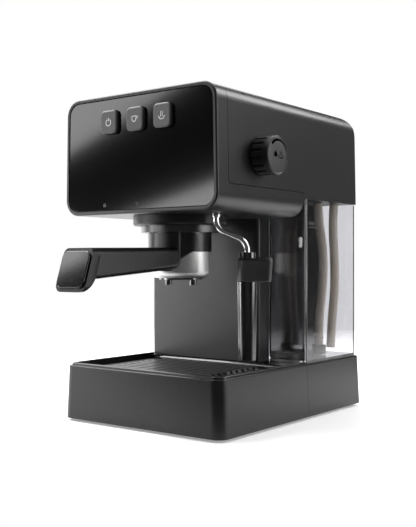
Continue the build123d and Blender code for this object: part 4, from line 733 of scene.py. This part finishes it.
tray_low, tray_high = low("drip_tray"), high("drip_tray")
tray_middle = (tray_low[0] + tray_high[0]) / 2
rim_x = (tray_high[0] - tray_low[0]) / 2 / MM - TRAY_FLARE - RIM_INSET
rim_front = tray_low[1] / MM + TRAY_FLARE + RIM_INSET
corner_y = rim_front + RIM_CORNER
left_end = low("column_shell")[1] / MM - COLUMN_GAP
right_end = tray_high[1] / MM - COLUMN_GAP
rim_line = np.vstack([
    np.stack([np.full(12, -rim_x), np.linspace(left_end, corner_y, 12, endpoint=False)], axis=-1),
    arc((RIM_CORNER - rim_x, corner_y), RIM_CORNER, 180, 270, 12),
    arc((rim_x - RIM_CORNER, corner_y), RIM_CORNER, 270, 360, 12),
    np.stack([np.full(12, rim_x), np.linspace(corner_y, right_end, 13)[1:]], axis=-1),
])
rim_path = np.column_stack([rim_line * MM + (tray_middle, 0.0), np.full(len(rim_line), tray_high[2])])
tray_rim = carried("tray_rim", rim_path, RIM_SECTION, base_charcoal, 50.0)
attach(tray_rim, "tray")
print("tray rim points", len(rim_path))

# %% [markdown]
# ## Rails of the grid
# Two rails lie behind the grid's bars: rods with a round top, carried straight across by the same
# formula as the rim.

# %% Rails
RAIL_RADIUS, RAIL_FOOT, RAIL_REACH, RAIL_COUNT = 1.1, -2.6, 74.0, 24
RAIL_SECTION = np.vstack([arc((0, 0), RAIL_RADIUS, 0, 180, 9),
                          [(-RAIL_RADIUS, RAIL_FOOT), (RAIL_RADIUS, RAIL_FOOT)]])
RAILS_BACK = {"rear_rail": 4.0, "front_rail": 8.2}
rail_x = np.linspace(-RAIL_REACH, RAIL_REACH, RAIL_COUNT) * MM
rail_z = np.full(RAIL_COUNT, high("drip_grid")[2])
for rail_name, back_off in RAILS_BACK.items():
    rail_y = np.full(RAIL_COUNT, high("drip_grid")[1] - back_off * MM)
    rail_path = np.column_stack([rail_x, rail_y, rail_z])
    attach(carried(rail_name, rail_path, RAIL_SECTION, dark_chrome, 50.0), "grid")
print("rails", len(RAILS_BACK))

# %% [markdown]
# ## Grip of the steam wand
# The rubber grip is a sleeve that runs out into a thumb tab. Seen from above, its outline is two
# circles joined by their outer tangents: a large one round the pipe and a small one at the tab's
# end. The outline is drawn in near the top and the bottom to round the edges, and the tab grows a
# little longer upwards.

# %% Wand grip
GRIP_FOOT = [(1.4, 0.0), (0.5, 0.3), (0.1, 0.8), (0.0, 1.6)]
GRIP_CROWN = [(0.0, 3.0), (0.2, 1.9), (0.7, 1.0), (1.5, 0.35), (2.6, 0.0)]
GRIP_LEAN, GRIP_MORE, TAB_SHARE = 2.2, 3.0, 0.5


def tab_outline(large, small, reach, count=28):
    """Two circles joined by outer tangents, which touch at the angle acos((large - small) / reach)."""
    touch = math.degrees(math.acos((large - small) / reach))
    return np.vstack([arc((0, 0), large, touch, 360 - touch, count),
                      arc((reach, 0), small, -touch, touch, count)])


grip_low, grip_high = low("wand_grip") / MM, high("wand_grip") / MM
pipe_x, pipe_y = middle("froth_sleeve")[:2] / MM
sleeve_radius = (grip_high[1] - grip_low[1]) / 2
tab_radius = TAB_SHARE * sleeve_radius
tab_reach = grip_high[0] - pipe_x - tab_radius + GRIP_MORE
grip_steps = [(inset, grip_low[2] + up) for inset, up in GRIP_FOOT]
grip_steps += [(inset, grip_high[2] - down) for inset, down in GRIP_CROWN]
grip_rings = []
for inset, height in grip_steps:
    lean = GRIP_LEAN * (grip_high[2] - height) / (grip_high[2] - grip_low[2])
    outline = tab_outline(sleeve_radius - inset, tab_radius - inset, tab_reach - lean) + (pipe_x, pipe_y)
    grip_rings.append(np.column_stack([outline, np.full(len(outline), height)]))
foot, crown = [np.broadcast_to([pipe_x, pipe_y, ring[0, 2]], ring.shape)
               for ring in (grip_rings[0], grip_rings[-1])]
grip_points = np.array([foot, *grip_rings, crown]) * MM
grip_faces = grid_faces(*grip_points.shape[:2], True)
thumb_grip = sharpen(piece_from("thumb_grip", grip_points, grip_faces, thumb_rubber), 50.0)
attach(thumb_grip, "wand")
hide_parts("wand_grip")
print("grip grid", grip_points.shape[:2], "tab reach", round(float(tab_reach + tab_radius), 2), "mm")

# %% [markdown]
# ## Light
# A dark machine is drawn by what it reflects. A softbox high at the back draws the bright band
# along the rounded top edge, and large ones on the left and right draw the upright edges. Four at
# the left front face straight back and are seen as grey glows in the fascia, the handle's cap and
# the base, with black between them. A weak one near the camera keeps round metal from going black.

# %% Softboxes
AIM = (0.0, 0.0, 0.16)
REARWARD = 1.5


def softbox(name, at, aim, size, power, roll=0.0):
    """Rectangular area light at a place, turned to aim at a point and rolled; size is in metres."""
    data = bpy.data.lights.new(name, "AREA")
    data.shape = "RECTANGLE"
    data.size, data.size_y = size
    data.energy = power
    lamp = bpy.data.objects.new(name, data)
    lamp.location = at
    turn = (Vector(aim) - Vector(at)).to_track_quat("-Z", "Y")
    lamp.rotation_euler = (turn @ Quaternion((0, 0, 1), math.radians(roll))).to_euler()
    lamp.visible_camera = False
    bpy.context.scene.collection.objects.link(lamp)


def facing_back(at):
    """Aim point straight behind a softbox's place, so that it faces along Y."""
    return (at[0], at[1] + REARWARD, at[2])


SOFTBOXES = {
    "overhead": dict(at=(0.0, 0.1, 1.9), size=(2.0, 2.0), power=25.0),
    "band_light": dict(at=(0.47, 0.92, 0.93), size=(0.44, 0.42), power=5.2),
    "rear_strip": dict(at=(0.34, 1.26, 0.40), size=(0.12, 0.8), power=0.3),
    "right_strip": dict(at=(1.25, 0.48, 0.50), size=(0.75, 1.0), power=9.0),
    "right_rear": dict(at=(1.35, 0.95, 0.55), size=(0.8, 1.0), power=0.9),
    "left_wall": dict(at=(-1.5, 0.15, 0.50), size=(0.8, 1.0), power=8.5),
    "left_rear": dict(at=(-1.15, 0.85, 0.35), size=(1.2, 0.9), power=4.6),
    "left_top": dict(at=(-0.75, 0.75, 1.15), size=(1.2, 1.2), power=15.0),
    "left_high": dict(at=(-0.80, -0.38, 1.20), size=(1.0, 0.9), power=26.0),
    "near_fill": dict(at=(0.95, -1.15, 0.50), size=(1.4, 1.2), power=0.5),
}
GLOWS = {
    "fascia_glow": dict(at=(-0.98, -0.96, 0.50), size=(0.66, 0.15), power=1.5, roll=20.0),
    "cap_glow": dict(at=(-1.12, -0.96, 0.79), size=(0.18, 0.20), power=0.62, roll=30.0),
    "low_glow": dict(at=(-0.56, -0.96, 0.25), size=(0.58, 0.14), power=1.4, roll=14.0),
    "left_front": dict(at=(-1.22, -0.90, 0.12), size=(0.5, 0.24), power=6.0),
}
for box_name, box_values in SOFTBOXES.items():
    softbox(box_name, aim=AIM, **box_values)
for glow_name, glow_values in GLOWS.items():
    softbox(glow_name, aim=facing_back(glow_values["at"]), **glow_values)
print("softboxes", len(SOFTBOXES) + len(GLOWS))

# %% [markdown]
# ## Floor
# The floor is plain and pale, and glows a little to light the undersides. Its alpha is the smaller
# of two fades, one with the distance from the middle and one towards the camera's side, so that it
# runs out into the white surround.

# %% Floor
view_turn = math.radians(CAMERA_AZIMUTH)
BACKDROP_WAY = (-math.sin(view_turn), math.cos(view_turn), 0.0)
FRONT_WAY = tuple(-share for share in BACKDROP_WAY)
FLOOR_SIZE, FLOOR_DROP, FLOOR_GLOW = 4.0, 0.0002, 0.28
FLOOR_PALE, FLOOR_PALER = (0.86, 0.86, 0.86), (0.88, 0.88, 0.88)
ROUND_FADE, FRONT_FADE = (0.5, 1.2), (0.10, 0.24)
half = FLOOR_SIZE / 2
corners = np.array([[-half, -half, 0], [half, -half, 0], [half, half, 0], [-half, half, 0]])
corners[:, 2] = CAD_BOX[0][2] - FLOOR_DROP
floor_paint, floor_nodes, floor_links, floor_shader = node_tree("floor_paint")
cloud = object_noise(floor_nodes, floor_links, 3.0, 2.0).outputs["Fac"]
tint(floor_nodes, floor_links, floor_shader, cloud, FLOOR_PALE, FLOOR_PALER)
floor_shader.inputs["Roughness"].default_value = 0.7
floor_shader.inputs["Emission Color"].default_value = (1.0, 1.0, 1.0, 1.0)
floor_shader.inputs["Emission Strength"].default_value = FLOOR_GLOW
floor_place = floor_nodes.new("ShaderNodeTexCoord")


def floor_edge(operation, fade_range, way=None):
    """Map Range from 1 to 0 over a range of a floor point's length, or of its reach along a way."""
    reach_node = floor_nodes.new("ShaderNodeVectorMath")
    reach_node.operation = operation
    floor_links.new(floor_place.outputs["Object"], reach_node.inputs[0])
    if way is not None:
        reach_node.inputs[1].default_value = way
    fade_node = floor_nodes.new("ShaderNodeMapRange")
    fade_node.inputs["From Min"].default_value = fade_range[0]
    fade_node.inputs["From Max"].default_value = fade_range[1]
    fade_node.inputs["To Min"].default_value = 1.0
    fade_node.inputs["To Max"].default_value = 0.0
    floor_links.new(reach_node.outputs["Value"], fade_node.inputs["Value"])
    return fade_node.outputs["Result"]


floor_alpha = floor_nodes.new("ShaderNodeMath")
floor_alpha.operation = "MINIMUM"
floor_links.new(floor_edge("LENGTH", ROUND_FADE), floor_alpha.inputs[0])
floor_links.new(floor_edge("DOT_PRODUCT", FRONT_FADE, FRONT_WAY), floor_alpha.inputs[1])
floor_links.new(floor_alpha.outputs["Value"], floor_shader.inputs["Alpha"])
floor = piece_from("floor", corners, [[0, 1, 2, 3]], floor_paint, smooth=False)
print("floor", FLOOR_SIZE, "m")

# %% [markdown]
# ## Surround
# Two backgrounds are mixed. A weak one lights the machine from all sides. A white one is what the
# eye sees behind it, directly or through the clear tank.

# %% Surround
ROOM_GLOW, BACKDROP_FROM, BACKDROP_TO = 0.03, 0.6, 0.85
world = bpy.data.worlds.new("studio")
world.use_nodes = True
bpy.context.scene.world = world
world_nodes = world.node_tree.nodes
world_links = world.node_tree.links
room = world_nodes["Background"]
room.inputs["Color"].default_value = (1.0, 1.0, 1.0, 1.0)
room.inputs["Strength"].default_value = ROOM_GLOW
surround = world_nodes.new("ShaderNodeBackground")
surround.inputs["Strength"].default_value = 1.0
surround.inputs["Color"].default_value = (1.0, 1.0, 1.0, 1.0)
path = world_nodes.new("ShaderNodeLightPath")
ways = world_nodes.new("ShaderNodeTexCoord")
behind = world_nodes.new("ShaderNodeVectorMath")
behind.operation = "DOT_PRODUCT"
behind.inputs[1].default_value = BACKDROP_WAY
world_links.new(ways.outputs["Generated"], behind.inputs[0])
backdrop = world_nodes.new("ShaderNodeMapRange")
backdrop.inputs["From Min"].default_value = BACKDROP_FROM
backdrop.inputs["From Max"].default_value = BACKDROP_TO
world_links.new(behind.outputs["Value"], backdrop.inputs["Value"])
through = world_nodes.new("ShaderNodeMath")
through.operation = "MULTIPLY"
world_links.new(path.outputs["Is Transmission Ray"], through.inputs[0])
world_links.new(backdrop.outputs["Result"], through.inputs[1])
seen = world_nodes.new("ShaderNodeMath")
seen.operation = "MAXIMUM"
world_links.new(path.outputs["Is Camera Ray"], seen.inputs[0])
world_links.new(through.outputs["Value"], seen.inputs[1])
mix = world_nodes.new("ShaderNodeMixShader")
world_links.new(seen.outputs["Value"], mix.inputs["Fac"])
world_links.new(room.outputs["Background"], mix.inputs[1])
world_links.new(surround.outputs["Background"], mix.inputs[2])
world_links.new(mix.outputs["Shader"], world_nodes["World Output"].inputs["Surface"])
bpy.context.scene.view_settings.view_transform = "Standard"
print("room glow", ROOM_GLOW)
